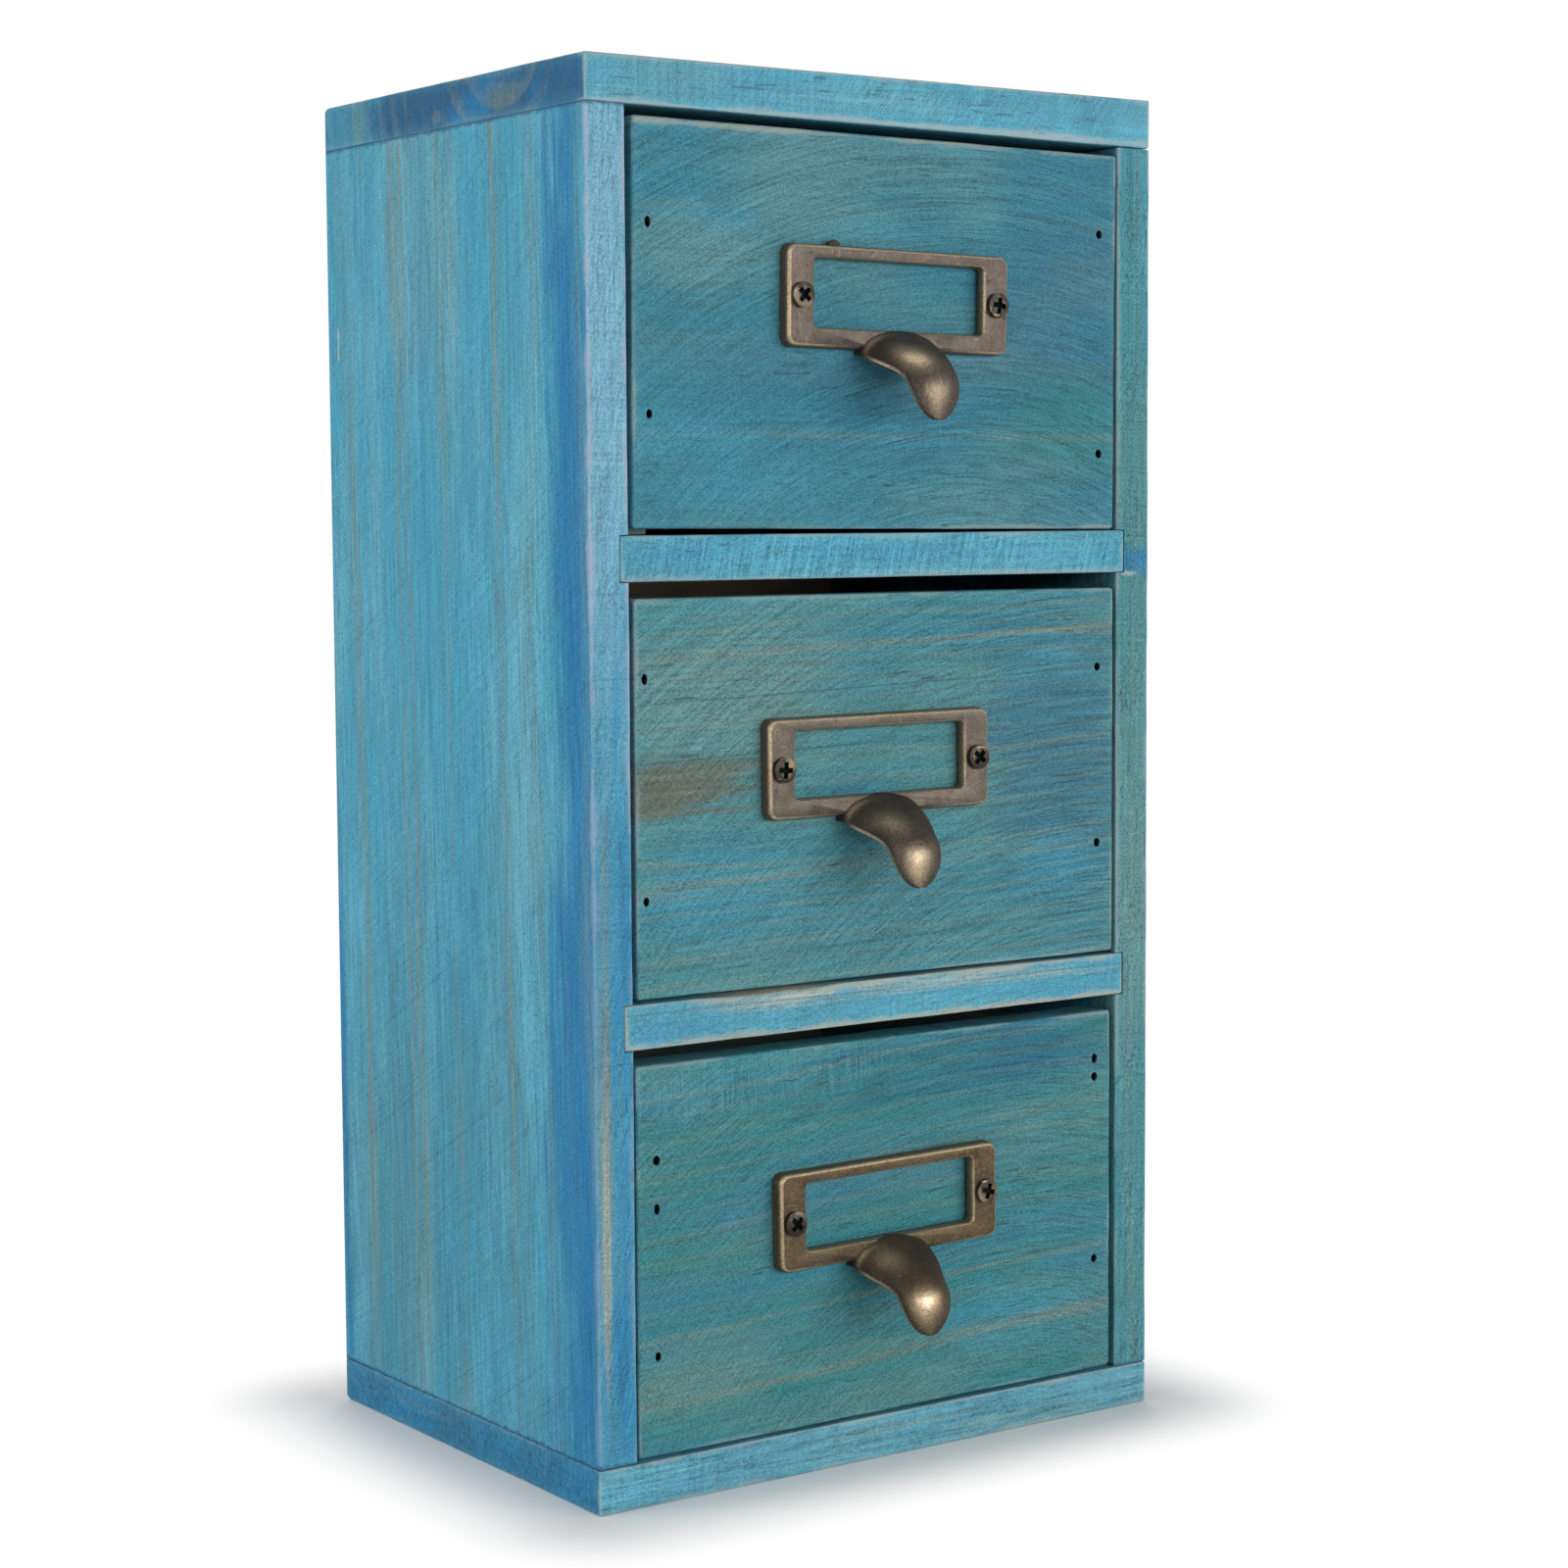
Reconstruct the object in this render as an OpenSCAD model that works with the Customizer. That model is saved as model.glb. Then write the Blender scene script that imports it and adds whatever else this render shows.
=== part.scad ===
// Desktop drawer organizer: a small cabinet of stained pine boards with three drawers,
// each with a cast label frame that carries a thumb pull.
// Millimetres. X runs to the right, Y to the back and Z up. The origin is the middle of
// the underside, and the drawers open towards -Y.

/* [Cabinet] */
// Overall width, across the top board
case_w = 125; // [105:1:180]
// Overall depth of the boards, from front edge to back edge
case_d = 95; // [80:1:160]
// Overall height, from the underside to the top
case_h = 250; // [220:1:360]
// Thickness of the top, bottom and side boards and of the shelves
board_t = 8; // [7:0.5:11]
// Depth of the housings in the side boards that hold the shelf ends
housing_depth = 2; // [1:0.25:3.5]
// Radius rounded on the back edges of the cabinet
back_edge_r = 2.5; // [1:0.25:3]
// Thickness of the plywood back panel
back_t = 3; // [2:0.25:5]
// Width of the rebate that holds the back panel
rebate_w = 4; // [3:0.25:4.5]

/* [Drawers] */
// Thickness of the drawer fronts
front_t = 8; // [7:0.5:12]
// Gap between a drawer front and the side board at each end
front_side_gap = 0.7; // [0.5:0.1:3]
// Gap under a drawer front
front_base_gap = 0.6; // [0.3:0.1:1.5]
// Gap above a drawer front
front_top_gap = 2.8; // [1:0.1:5]
// Radius of the drawer fronts' corners
front_corner_r = 1.2; // [0.4:0.1:4]
// Thickness of the drawer sides and drawer backs
drawer_wall_t = 7; // [5:0.5:10]
// Distance of a drawer side from the end of its front
side_inset = 0.6; // [0.2:0.1:3]
// Drop of the drawer sides below the top of the front
side_drop = 4; // [1:0.5:7]
// Drop of the drawer back below the top of the sides
back_drop = 4; // [0:0.5:20]
// Thickness of the drawer floors
floor_t = 3; // [2:0.25:5]
// Height of the floor groove above the lower edge of the drawer sides
groove_rise = 4; // [3:0.5:9]
// Depth of the floor groove
groove_depth = 3; // [1.5:0.25:4]
// Gap between a closed drawer and the back panel
rear_gap = 1; // [0.5:0.25:10]
// Sideways rest of the bottom, middle and top drawer in their bays
drawer_shift = [-0.4, 0.1, 0.3]; // [-0.4:0.1:0.4]

/* [Label pulls] */
// Width of the label frame
frame_w = 49.2; // [40:0.2:70]
// Height of the label frame
frame_h = 18; // [15:0.1:26]
// Standing height of the label frame off the wood
frame_t = 2.6; // [2:0.1:4]
// Thickness of the casting's walls
cast_t = 1.3; // [1:0.05:1.8]
// Width of the frame's end stiles
stile_w = 5.8; // [5.6:0.1:10]
// Height of the frame's upper rail
upper_rail = 2.4; // [2:0.1:5]
// Height of the frame's lower rail
lower_rail = 3.6; // [2.5:0.1:5]
// Corner radius of the frame
frame_r = 1.8; // [1:0.1:4]
// Corner radius of the label window
window_r = 0.9; // [0.4:0.1:3]
// Width of the bevel on the frame's front edges
frame_bevel = 0.6; // [0.2:0.05:0.9]
// Diameter of the screw bosses behind the frame
boss_d = 4.4; // [3.5:0.1:5]
// Forward reach of the thumb pull's tip
pull_reach = 14; // [9:0.5:24]
// Drop of the thumb pull's tip below the frame
pull_drop = 12.6; // [8:0.2:20]
// Width of the thumb pull at the frame
pull_root_w = 17.2; // [13:0.2:24]
// Width of the thumb pull at its waist
pull_waist_w = 10.6; // [7:0.2:13]
// Sag of the thumb pull's rim below the frame at the root
pull_sag = 1; // [0:0.1:2]
// Thickness of the thumb pull's tip
pull_tip_t = 1; // [0.6:0.1:2]
// Sideways place of each pull from the middle of its front, bottom to top
pull_shift = [-0.7, -3.1, 1.3]; // [-8:0.1:8]
// Rise of each label frame above the middle of its front, bottom to top
pull_rise = [3.9, 4.2, 6]; // [0:0.1:10]
// Turn of each label pull on its front in degrees, anticlockwise, bottom to top
pull_turn = [0.7, 0.4, -0.8]; // [-2:0.1:2]

/* [Fasteners] */
// Diameter of the pan heads of the pull screws
screw_head_d = 4.5; // [4:0.1:5.6]
// Height of the pan heads
screw_head_h = 1.1; // [0.8:0.1:2.5]
// Diameter of the screw shanks
screw_d = 2.3; // [1.6:0.1:2.8]
// Depth that a screw goes into the wood
screw_bite = 5.5; // [3:0.25:6.5]
// Diameter of the brad shanks
brad_d = 1.1; // [0.8:0.1:1.6]
// Diameter of the brad heads
brad_head_d = 1.7; // [1.4:0.1:2.4]
// Length of the brads
brad_len = 24; // [16:1:32]
// Depth that the brad heads are set below the surface
brad_sink = 0.8; // [0.3:0.1:1.5]
// Distance of the carcass brads from the front and back edges
carcass_brad_inset = 15; // [10:1:30]
// Distance of the brads in a drawer back from its lower and upper edge
back_brad_inset = 12; // [6:1:20]
// Length of the pins that hold the back panel
pin_len = 12; // [8:1:20]
// Distance of the outer back panel pins from the panel's corners
pin_inset = 14; // [8:1:24]
// Brads in the bottom drawer front, left then right: up from its lower edge, or down from its upper one
bottom_front_brads = [[17.8, -25.4, -16.8], [21.5, -12.5, -9]];
// Brads in the middle drawer front, in the same way
middle_front_brads = [[17.1, -13.8], [21, -14.9]];
// Brads in the top drawer front, in the same way
top_front_brads = [[20, -16.9], [13.7, -14.8]];
// Outward place of each drawer's left front brads from the middle of its side, bottom to top
left_brad_out = [0, 2.1, 0.8]; // [0:0.1:2.4]

/* [Fits] */
// Clearance of shelves, panels and floors in their housings
joint_fit = 0.1; // [0.05:0.05:0.4]
// Radial clearance around brads, pins and screws
nail_fit = 0.05; // [0.02:0.01:0.1]

/* [Hidden] */
$fn = 48;
LEVELS = ["bottom", "middle", "top"];
DRAWER_PIECES = [
    "drawer_front", "drawer_left_side", "drawer_right_side", "drawer_back", "drawer_floor",
    "label_pull", "pull_screws", "front_brads", "back_brads"
];
CARCASS_PIECES = [
    "top_board", "bottom_board", "left_side_board", "right_side_board", "upper_shelf", "lower_shelf",
    "back_panel", "carcass_brads", "back_panel_pins"
];

STAIN = [0.22, 0.52, 0.61];
THIN_STAIN = [0.45, 0.64, 0.66];
PLYWOOD = [0.76, 0.66, 0.50];
ANTIQUE_BRASS = [0.45, 0.39, 0.32];
DARK_BRONZE = [0.20, 0.18, 0.15];
STEEL = [0.38, 0.38, 0.39];

// Overshoot of a cut past the face that it opens
cut = 1;

// Bays between the boards
inner_w = case_w - 2 * board_t;
bay_h = (case_h - (len(LEVELS) + 1) * board_t) / len(LEVELS);
side_board_h = case_h - 2 * board_t;
front_y = -case_d / 2;
panel_y = case_d / 2 - back_t;
function bay_z(level) = board_t + level * (bay_h + board_t);
shelf_levels = [for (level = [1 : len(LEVELS) - 1]) bay_z(level) - board_t];

// Drawers
front_w = inner_w - 2 * front_side_gap;
front_h = bay_h - front_base_gap - front_top_gap;
box_w = front_w - 2 * side_inset;
box_inner_w = box_w - 2 * drawer_wall_t;
box_y = front_y + front_t;
box_len = panel_y - rear_gap - box_y;
drawer_side_h = front_base_gap + front_h - side_drop;
floor_top = groove_rise + floor_t;
drawer_back_h = drawer_side_h - back_drop - floor_top;
wall_centre = (box_w - drawer_wall_t) / 2;
front_brads_of = [bottom_front_brads, middle_front_brads, top_front_brads];
function from_edge(distance, span) = distance > 0 ? distance : span + distance;

// Label frame, measured from its own centre
window_w = frame_w - 2 * stile_w;
window_h = frame_h - upper_rail - lower_rail;
window_y = (lower_rail - upper_rail) / 2;
screw_pitch = frame_w - stile_w;
screw_len = frame_t + screw_bite;
screw_point = screw_d;
cross_w = screw_head_d / 6;
cross_len = 0.62 * screw_head_d;
cross_depth = 0.6 * screw_head_h;
head_crown = 0.3 * screw_head_h;

// Thumb pull: two curves seen from the side, as [forward, up], run from the frame to the tip.
// The inner control points are shares of the reach and of the drop.
rim_shares = [[0.64, 0.31], [0.89, 0.31]];
crest_shares = [[0.69, 0.07], [1.34, 0.07]];
pull_heel = 0.3;
pull_steps = 16;
pull_arcs = 12;
end_share = 0.996;
waist_share = 0.62;
tip_share = 0.55;
arch_power = 0.9;
tip_power = 2.2;
frame_foot = -frame_h / 2;
window_foot = frame_foot + lower_rail;
function pull_point(share) = [share[0] * pull_reach, frame_foot - share[1] * pull_drop];
tip_point = [pull_reach, frame_foot - pull_drop];
half_tip = [pull_tip_t / 2, 0];
rim_curve = concat(
    [[frame_t, frame_foot - pull_sag]],
    [for (share = rim_shares) pull_point(share)],
    [tip_point - half_tip]
);
crest_curve = concat(
    [[frame_t, window_foot]],
    [for (share = crest_shares) pull_point(share)],
    [tip_point + half_tip]
);

// Brads and pins
brad_head_h = 0.5;
brad_point = brad_d;
carcass_brad_x = (case_w - board_t) / 2;
carcass_brad_y = [front_y + carcass_brad_inset, 0, -front_y - carcass_brad_inset];
panel_w = inner_w + 2 * (rebate_w - joint_fit);
panel_h = side_board_h + 2 * (rebate_w - joint_fit);
pin_x = (inner_w + rebate_w) / 2;
pin_z = (side_board_h + rebate_w) / 2;

// Rectangle from the origin with rounded corners, given in order from lower left round to upper left
module soft_rect(w, h, radii) {
    corners = [[0, 0], [w, 0], [w, h], [0, h]];
    difference() {
        square([w, h]);
        for (i = [0 : 3])
            if (radii[i] > 0)
                translate(corners[i])
                    rotate(90 * i)
                        corner_waste(radii[i]);
    }
}

// What rounding takes off the corner of a rectangle that lies at the origin
module corner_waste(r) {
    difference() {
        translate([-cut, -cut])
            square(r + cut);
        translate([r, r])
            circle(r);
    }
}

// The same rectangle about its own centre, with one radius
module plate_outline(w, h, r) {
    translate([-w / 2, -h / 2])
        soft_rect(w, h, [r, r, r, r]);
}

// A brad whose head faces +Z at the origin
module brad(length) {
    translate([0, 0, -brad_head_h])
        cylinder(d = brad_head_d, h = brad_head_h);
    translate([0, 0, brad_point - length])
        cylinder(d = brad_d, h = length - brad_point - brad_head_h / 2);
    translate([0, 0, -length])
        cylinder(d1 = brad_d / 4, d2 = brad_d, h = brad_point);
}

// The hole that a brad leaves, open above its head
module brad_bore(length) {
    translate([0, 0, -brad_head_h])
        cylinder(d = brad_head_d + 2 * nail_fit, h = brad_head_h + brad_sink + cut);
    translate([0, 0, -length - nail_fit])
        cylinder(d = brad_d + 2 * nail_fit, h = length);
}

module at_carcass_brads() {
    for (x = [-carcass_brad_x, carcass_brad_x], y = carcass_brad_y) {
        translate([x, y, case_h - brad_sink])
            children();
        translate([x, y, brad_sink])
            mirror([0, 0, 1])
                children();
    }
}

// Places of the pins, heads flush with the back of the panel
module at_back_panel_pins() {
    rows = [board_t + pin_inset, case_h / 2, case_h - board_t - pin_inset];
    for (x = [-pin_x, pin_x], z = rows)
        translate([x, case_d / 2, z])
            rotate([-90, 0, 0])
                children();
    for (x = [-1, 1], z = [-pin_z, pin_z])
        translate([x * (inner_w / 2 - pin_inset), case_d / 2, case_h / 2 + z])
            rotate([-90, 0, 0])
                children();
}

// Top or bottom board with its outer face at z = 0
module end_board() {
    intersection() {
        linear_extrude(board_t)
            translate([-case_w / 2, front_y])
                soft_rect(case_w, case_d, [0, 0, back_edge_r, back_edge_r]);
        translate([-case_w / 2, 0, 0])
            rotate([90, 0, 90])
                linear_extrude(case_w)
                    translate([front_y, 0])
                        soft_rect(case_d, board_t, [0, back_edge_r, 0, 0]);
    }
}

// Space that the back panel takes out of the boards round it
module back_rebate() {
    w = inner_w + 2 * rebate_w;
    h = side_board_h + 2 * rebate_w;
    translate([-w / 2, panel_y, board_t - rebate_w])
        cube([w, back_t + cut, h]);
}

module carcass_bores() {
    at_carcass_brads()
        brad_bore(brad_len);
    at_back_panel_pins()
        brad_bore(pin_len);
}

module top_board() {
    color(STAIN)
        difference() {
            translate([0, 0, case_h])
                mirror([0, 0, 1])
                    end_board();
            back_rebate();
            carcass_bores();
        }
}

module bottom_board() {
    color(STAIN)
        difference() {
            end_board();
            back_rebate();
            carcass_bores();
        }
}

// Left-hand side board with its through housings
module side_blank() {
    difference() {
        translate([-case_w / 2, front_y, board_t])
            linear_extrude(side_board_h)
                soft_rect(board_t, case_d, [0, 0, 0, back_edge_r]);
        for (z = shelf_levels)
            translate([-inner_w / 2 - housing_depth, front_y - cut, z])
                cube([housing_depth + cut, case_d + 2 * cut, board_t + joint_fit]);
    }
}

module left_side_board() {
    color(STAIN)
        difference() {
            side_blank();
            back_rebate();
            carcass_bores();
        }
}

module right_side_board() {
    color(STAIN)
        difference() {
            mirror([1, 0, 0])
                side_blank();
            back_rebate();
            carcass_bores();
        }
}

module shelf(z) {
    w = inner_w + 2 * (housing_depth - joint_fit);
    color(STAIN)
        translate([-w / 2, front_y, z])
            cube([w, panel_y - front_y, board_t]);
}

module upper_shelf() {
    shelf(shelf_levels[1]);
}

module lower_shelf() {
    shelf(shelf_levels[0]);
}

module back_panel() {
    color(PLYWOOD)
        difference() {
            translate([-panel_w / 2, panel_y, (case_h - panel_h) / 2])
                cube([panel_w, back_t, panel_h]);
            at_back_panel_pins()
                brad_bore(pin_len);
        }
}

module carcass_brads() {
    color(STEEL)
        at_carcass_brads()
            brad(brad_len);
}

module back_panel_pins() {
    color(STEEL)
        at_back_panel_pins()
            brad(pin_len);
}

// Moves a drawer's pieces from its own frame, on the floor of its bay, to where the drawer rests
module in_bay(level) {
    translate([drawer_shift[level], 0, bay_z(level)])
        children();
}

// Places of the brads that hold a drawer front on its sides
module at_front_brads(level) {
    for (end = [0, 1], distance = front_brads_of[level][end]) {
        x = end == 0 ? -wall_centre - left_brad_out[level] : wall_centre;
        z = front_base_gap + from_edge(distance, front_h);
        translate([x, front_y + brad_sink, z])
            rotate([90, 0, 0])
                children();
    }
}

// Places of the brads that hold the drawer back between the sides
module at_back_brads() {
    y = box_y + box_len - drawer_wall_t / 2;
    rows = [floor_top + back_brad_inset, floor_top + drawer_back_h - back_brad_inset];
    for (turn = [-1, 1], z = rows)
        translate([turn * (box_w / 2 - brad_sink), y, z])
            rotate([0, 90 * turn, 0])
                children();
}

// Puts a label pull, modelled facing +Z, on the face of its drawer front
module on_front(level) {
    translate([pull_shift[level], front_y, front_base_gap + front_h / 2 + pull_rise[level]])
        rotate([90, 0, 0])
            rotate(pull_turn[level])
                children();
}

module at_pull_screws() {
    for (x = [-screw_pitch / 2, screw_pitch / 2])
        translate([x, 0, frame_t])
            children();
}

// Space for the drawer floor in the front and the sides
module floor_groove() {
    w = box_inner_w + 2 * groove_depth;
    translate([-w / 2, box_y - groove_depth, groove_rise])
        cube([w, box_len + groove_depth + cut, floor_t + joint_fit]);
}

module drawer_front(level) {
    color(STAIN)
        in_bay(level)
            difference() {
                translate([0, box_y, front_base_gap + front_h / 2])
                    rotate([90, 0, 0])
                        linear_extrude(front_t)
                            plate_outline(front_w, front_h, front_corner_r);
                floor_groove();
                at_front_brads(level)
                    brad_bore(brad_len);
                on_front(level)
                    at_pull_screws()
                        translate([0, 0, -screw_len - nail_fit])
                            cylinder(d = screw_d + 2 * nail_fit, h = screw_len);
            }
}

// Side of a drawer: turn is -1 for the left one and 1 for the right one
module drawer_side(level, turn) {
    color(THIN_STAIN)
        in_bay(level)
            difference() {
                translate([turn * wall_centre - drawer_wall_t / 2, box_y, 0])
                    cube([drawer_wall_t, box_len, drawer_side_h]);
                floor_groove();
                at_front_brads(level)
                    brad_bore(brad_len);
                at_back_brads()
                    brad_bore(brad_len);
            }
}

module drawer_left_side(level) {
    drawer_side(level, -1);
}

module drawer_right_side(level) {
    drawer_side(level, 1);
}

module drawer_back(level) {
    color(THIN_STAIN)
        in_bay(level)
            difference() {
                translate([-box_inner_w / 2, box_y + box_len - drawer_wall_t, floor_top])
                    cube([box_inner_w, drawer_wall_t, drawer_back_h]);
                at_back_brads()
                    brad_bore(brad_len);
            }
}

module drawer_floor(level) {
    w = box_inner_w + 2 * (groove_depth - joint_fit);
    reach = groove_depth - joint_fit;
    color(PLYWOOD)
        in_bay(level)
            translate([-w / 2, box_y - reach, groove_rise])
                cube([w, box_len + reach, floor_t]);
}

// Front half of the frame casting, bevelled on its outer edge
module frame_blank() {
    hull() {
        linear_extrude(frame_t - frame_bevel)
            plate_outline(frame_w, frame_h, frame_r);
        linear_extrude(frame_t)
            plate_outline(frame_w - 2 * frame_bevel, frame_h - 2 * frame_bevel, frame_r);
    }
}

// Label window, with a bevel on its front edge
module frame_window() {
    translate([0, window_y, -cut])
        linear_extrude(frame_t + 2 * cut)
            plate_outline(window_w, window_h, window_r);
    translate([0, window_y, frame_t - frame_bevel])
        hull() {
            linear_extrude(frame_bevel / 2)
                plate_outline(window_w, window_h, window_r);
            translate([0, 0, frame_bevel])
                linear_extrude(frame_bevel)
                    plate_outline(window_w + 2 * frame_bevel, window_h + 2 * frame_bevel, window_r);
        }
}

// Hollow behind the frame, which leaves the outer wall and the front lip
module frame_hollow() {
    translate([0, 0, -cut])
        linear_extrude(frame_t - cast_t + cut)
            plate_outline(frame_w - 2 * cast_t, frame_h - 2 * cast_t, min(window_r, frame_r));
}

function bezier(c, t) =
    pow(1 - t, 3) * c[0]
    + 3 * pow(1 - t, 2) * t * c[1]
    + 3 * (1 - t) * t * t * c[2]
    + pow(t, 3) * c[3];
function smooth(s) = s * s * (3 - 2 * s);
function limited(value, low, high) = max(low, min(high, value));

// Half the width of the thumb pull at the share t of its length
function tapered(t) =
    (pull_root_w + (pull_waist_w - pull_root_w) * smooth(limited(t / waist_share, 0, 1))) / 2;
function tip_round(t) = sqrt(1 - pow(limited((t - tip_share) / (1 - tip_share), 0, 1), tip_power));
function half_width(t) = tapered(t) * tip_round(t);

// A point of the arch across the thumb pull: inset 0 gives the outer skin, cast_t the hollow below it
function arch_point(t, turn, inset) =
    let (
        rim = bezier(rim_curve, t),
        rise = bezier(crest_curve, t) - rim,
        half = max(half_width(t) - inset, half_width(t) / 4),
        share = max(1 - inset / norm(rise), 0.02),
        side = sign(cos(turn)) * pow(abs(cos(turn)), arch_power),
        spot = rim + rise * share * pow(abs(sin(turn)), arch_power)
    )
    [half * side, spot[1], spot[0]];

// Ring of points round the crescent that a cut across the thumb pull shows
function pull_ring(t) = concat(
    [for (i = [0 : pull_arcs]) arch_point(t, 180 * i / pull_arcs, 0)],
    [for (i = [pull_arcs : -1 : 0]) arch_point(t, 180 * i / pull_arcs, cast_t)]
);
function at_depth(ring, z) = [for (p = ring) [p[0], p[1], z]];

// Hollow thumb pull, lofted from the wood through the frame's lower rail to its tip
module thumb_pull() {
    rings = concat(
        [at_depth(pull_ring(0), pull_heel)],
        [for (i = [0 : pull_steps]) pull_ring(end_share * sin(90 * i / pull_steps))]
    );
    count = 2 * (pull_arcs + 1);
    last = len(rings) - 1;
    walls = [
        for (k = [0 : last - 1], i = [0 : count - 1])
            let (a = k * count + i, b = k * count + (i + 1) % count)
            each [[a, b + count, b], [a, a + count, b + count]]
    ];
    ends = [
        for (i = [0 : pull_arcs - 1])
            let (a = i, b = i + 1, c = count - 2 - i, d = count - 1 - i, far = last * count)
            each [[a, b, c], [a, c, d], [far + a, far + c, far + b], [far + a, far + d, far + c]]
    ];
    polyhedron(points = [for (ring = rings) each ring], faces = concat(walls, ends), convexity = 6);
}

module label_pull(level) {
    color(ANTIQUE_BRASS)
        in_bay(level)
            on_front(level)
                difference() {
                    union() {
                        difference() {
                            frame_blank();
                            frame_window();
                            frame_hollow();
                        }
                        for (x = [-screw_pitch / 2, screw_pitch / 2])
                            translate([x, 0, 0])
                                cylinder(d = boss_d, h = frame_t - cast_t / 2);
                        thumb_pull();
                    }
                    at_pull_screws()
                        translate([0, 0, -screw_len])
                            cylinder(d = screw_d + 2 * nail_fit, h = screw_len + cut);
                }
}

// Pan-head screw with its head seated on z = 0
module pan_screw() {
    difference() {
        union() {
            cylinder(d = screw_head_d, h = screw_head_h - head_crown);
            translate([0, 0, screw_head_h - head_crown])
                cylinder(d1 = screw_head_d, d2 = 0.7 * screw_head_d, h = head_crown);
        }
        for (turn = [0, 90])
            rotate(turn)
                translate([-cross_len / 2, -cross_w / 2, screw_head_h - cross_depth])
                    cube([cross_len, cross_w, cross_depth + cut]);
    }
    translate([0, 0, screw_point - screw_len])
        cylinder(d = screw_d, h = screw_len - screw_point + head_crown / 2);
    translate([0, 0, -screw_len])
        cylinder(d1 = screw_d / 5, d2 = screw_d, h = screw_point);
}

module pull_screws(level) {
    color(DARK_BRONZE)
        in_bay(level)
            on_front(level)
                at_pull_screws()
                    pan_screw();
}

module front_brads(level) {
    color(STEEL)
        in_bay(level)
            at_front_brads(level)
                brad(brad_len);
}

module back_brads(level) {
    color(STEEL)
        in_bay(level)
            at_back_brads()
                brad(brad_len);
}

top_board();
bottom_board();
left_side_board();
right_side_board();
upper_shelf();
lower_shelf();
back_panel();
carcass_brads();
back_panel_pins();
for (i = [0 : len(LEVELS) - 1]) {
    drawer_front(i);
    drawer_left_side(i);
    drawer_right_side(i);
    drawer_back(i);
    drawer_floor(i);
    label_pull(i);
    pull_screws(i);
    front_brads(i);
    back_brads(i);
}
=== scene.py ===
"""Looks for the desktop drawer organizer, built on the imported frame.

Stained pine boards, three drawers and cast label pulls.
"""

import math

import bmesh
import bpy
import numpy as np
from bpy.props import FloatProperty, FloatVectorProperty, IntProperty, PointerProperty
from mathutils import Matrix, Vector, noise
from mathutils.kdtree import KDTree


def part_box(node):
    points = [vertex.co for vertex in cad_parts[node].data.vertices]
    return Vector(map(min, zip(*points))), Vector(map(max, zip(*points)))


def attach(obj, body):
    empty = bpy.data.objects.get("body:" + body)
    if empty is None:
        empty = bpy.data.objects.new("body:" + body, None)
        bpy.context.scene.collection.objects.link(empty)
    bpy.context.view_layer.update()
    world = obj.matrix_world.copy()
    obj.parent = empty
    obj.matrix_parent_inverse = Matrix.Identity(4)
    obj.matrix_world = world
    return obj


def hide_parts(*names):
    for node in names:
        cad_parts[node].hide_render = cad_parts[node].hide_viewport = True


bl_info = {
    "name": "Desktop Drawer Organizer",
    "version": (1, 0, 0),
    "blender": (4, 5, 0),
    "location": "View3D > Sidebar > Organizer",
    "description": "Stained pine boards, drawers and cast label pulls on the packed frame",
    "category": "Object",
}

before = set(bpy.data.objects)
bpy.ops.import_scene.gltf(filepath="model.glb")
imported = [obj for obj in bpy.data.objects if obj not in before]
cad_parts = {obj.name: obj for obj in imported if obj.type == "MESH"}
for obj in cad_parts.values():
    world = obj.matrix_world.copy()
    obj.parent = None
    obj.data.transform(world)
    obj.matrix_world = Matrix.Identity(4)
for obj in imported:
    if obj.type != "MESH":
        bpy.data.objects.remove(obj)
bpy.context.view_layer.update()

MM = 0.001
LEVELS = ("bottom", "middle", "top")
AXES = {"X": Vector((1, 0, 0)), "Y": Vector((0, 1, 0)), "Z": Vector((0, 0, 1))}
# Specular levels of stained wood, metal and torn fibres
WOOD_SPECULAR, METAL_SPECULAR, SPLINTER_SPECULAR = 0.16, 0.2, 0.5
# Share of the arris wear that is left behind a board's front edge
BACK_WEAR = 0.2
PLIES = 3
# What a board's seed is raised by for each layer of its stain, and from one patch or streak to the next
STREAK_SEED, END_SEED, FRONT_SEED, CHATTER_SEED = 1.7, 5.1, 7.9, 9.3
PATCH_STEP, STREAK_STEP = 0.37, 0.61
CHATTER_ANGLE = 91.0
# Rates of the noise that shapes a board, per metre, and how far its arrises vary
WOBBLE_RATE, HOLLOW_RATE, ARRIS_SPREAD = 170, 45, 0.45
# The fronts' arrises against those of the carcass
FRONT_ARRIS = 1.5
# Reach of cutters that run right through a board, and how far others stand past the wood, in metres
THROUGH, OVERCUT = 0.1, 0.01
# Brad heads deeper than this have no pit, in metres
DEEPEST_PIT = 0.005


def length(name, description, millimetres):
    return FloatProperty(name=name, description=description, default=millimetres * MM, unit="LENGTH", precision=5)


def tone(name, description, red, green, blue):
    return FloatVectorProperty(
        name=name, description=description, default=(red, green, blue), size=3, subtype="COLOR", min=0, max=1
    )


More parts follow.
